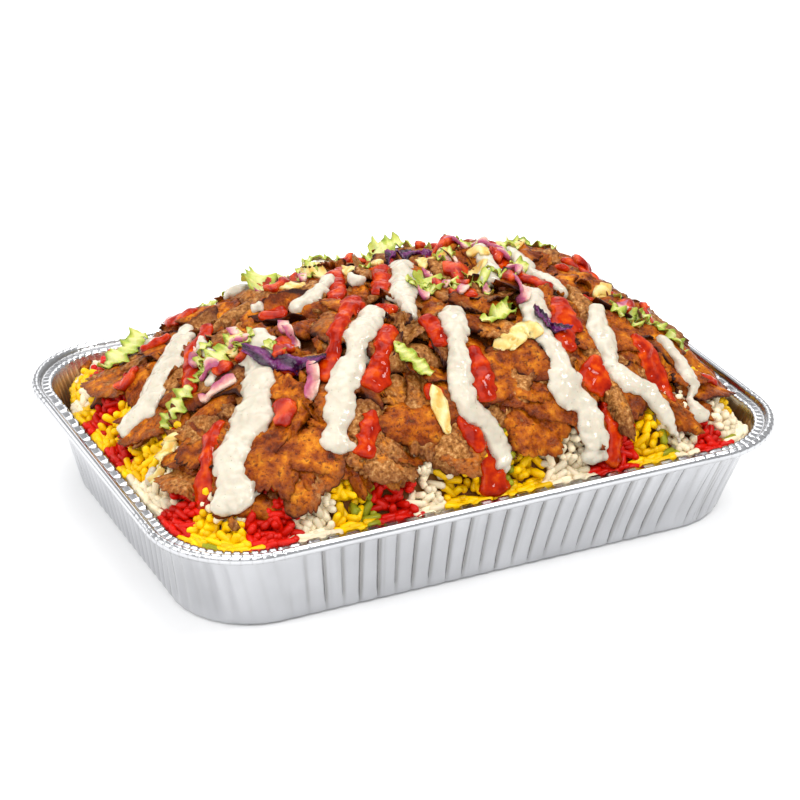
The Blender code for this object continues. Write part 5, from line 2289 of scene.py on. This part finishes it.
@dataclass
class Studio:
    """White paper, soft light and the camera at the photograph's angle."""

    view: Viewpoint
    paper: float = 4.0
    sky: float = 0.58
    # name, place, side and watts of each soft box; the foil and wet sauces mirror the gleams
    boxes: tuple[tuple[str, Triple, float, float], ...] = (
        ("key", (0.25, 0.45, 1.80), 1.6, 21.0), ("sparkle", (0.75, -0.90, 1.50), 0.40, 14.0),
        ("fill", (-1.00, -1.30, 1.50), 2.0, 24.0), ("card", (-1.70, 0.30, 0.90), 1.5, 12.0),
        ("gleam", (0.60, 1.40, 0.84), 0.75, 2.6), ("side gleam", (-0.75, 1.45, 0.50), 0.70, 2.4),
    )

    def build(self) -> None:
        """Build the floor, the lights and the camera."""
        scene = bpy.context.scene
        scene.view_settings.view_transform = "Standard"
        camera = bpy.data.cameras.new("camera")
        camera.lens = self.view.lens
        camera.sensor_width = self.view.sensor
        camera.clip_start = 0.01
        holder = bpy.data.objects.new("camera", camera)
        holder.location = self.view.place
        holder.rotation_euler = self.view.turn().to_euler()
        scene.collection.objects.link(holder)
        scene.camera = holder
        half = self.paper
        stack = MeshStack()
        corners = np.array([(-half, -half, 0), (half, -half, 0), (half, half, 0),
                            (-half, half, 0)])
        stack.add(corners - np.array([0, 0, 0.0001]), [(0, 1, 2, 3)])
        floor = stack.build("studio_paper")
        floor.data.materials.append(StudioPaper().build())
        for box in self.boxes:
            self.light(*box)
        world = bpy.data.worlds.new("studio")
        world.use_nodes = True
        sky = world.node_tree.nodes["Background"]
        sky.inputs["Color"].default_value = linear("#FFFFFF")
        sky.inputs["Strength"].default_value = self.sky
        scene.world = world

    def light(self, name: str, place: Triple, size: float,
              power: float) -> None:
        """Hang one soft box, facing the dish.

        Args:
            name: Its name.
            place: Where it hangs.
            size: Length of its side.
            power: Its watts.
        """
        lamp = bpy.data.lights.new(name, "AREA")
        lamp.shape = "SQUARE"
        lamp.size = size
        lamp.energy = power
        holder = bpy.data.objects.new(name, lamp)
        holder.location = place
        holder.rotation_euler = (Vector((0, 0, 0.05)) - Vector(place)).to_track_quat(
            "-Z", "Y").to_euler()
        bpy.context.scene.collection.objects.link(holder)


def main() -> None:
    """Load the frame, then build the dish from the tray up."""
    logging.basicConfig(level=logging.INFO, format="%(message)s")
    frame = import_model()
    mound = Mound()
    view = Viewpoint()
    Studio(view).build()
    FoilTray().build(PressedFoil().build())
    RiceBed(mound).build()
    heap = MeatHeap(mound).build()
    terrain = Terrain(mound, heap)
    red = Drizzle("chilli_drizzle", Slot.RED, terrain,
                  [route.on(view, mound, RED_LIFT) for route in RED_ROUTES]
                  + back_passes(0.010, 0.020, 0.084, 8), 0.0024, 0.0009, 41, 0.10, 5.5, 0.0010)
    red_piece = red.build(ChilliSauce().build())
    terrain = Terrain(mound, heap + [red_piece])
    white = Drizzle("yoghurt_drizzle", Slot.WHITE, terrain,
                    [route.on(view, mound, WHITE_LIFT) for route in WHITE_ROUTES]
                    + back_passes(0.013, 0.0, 0.100, 9), 0.0034, 0.0009, 42, 0.12)
    white_piece = white.build(YoghurtSauce().build())
    terrain = Terrain(mound, heap + [red_piece, white_piece])
    Salad(terrain, frame["nodes"]).build()
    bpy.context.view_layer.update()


if __name__ == "__main__":
    main()
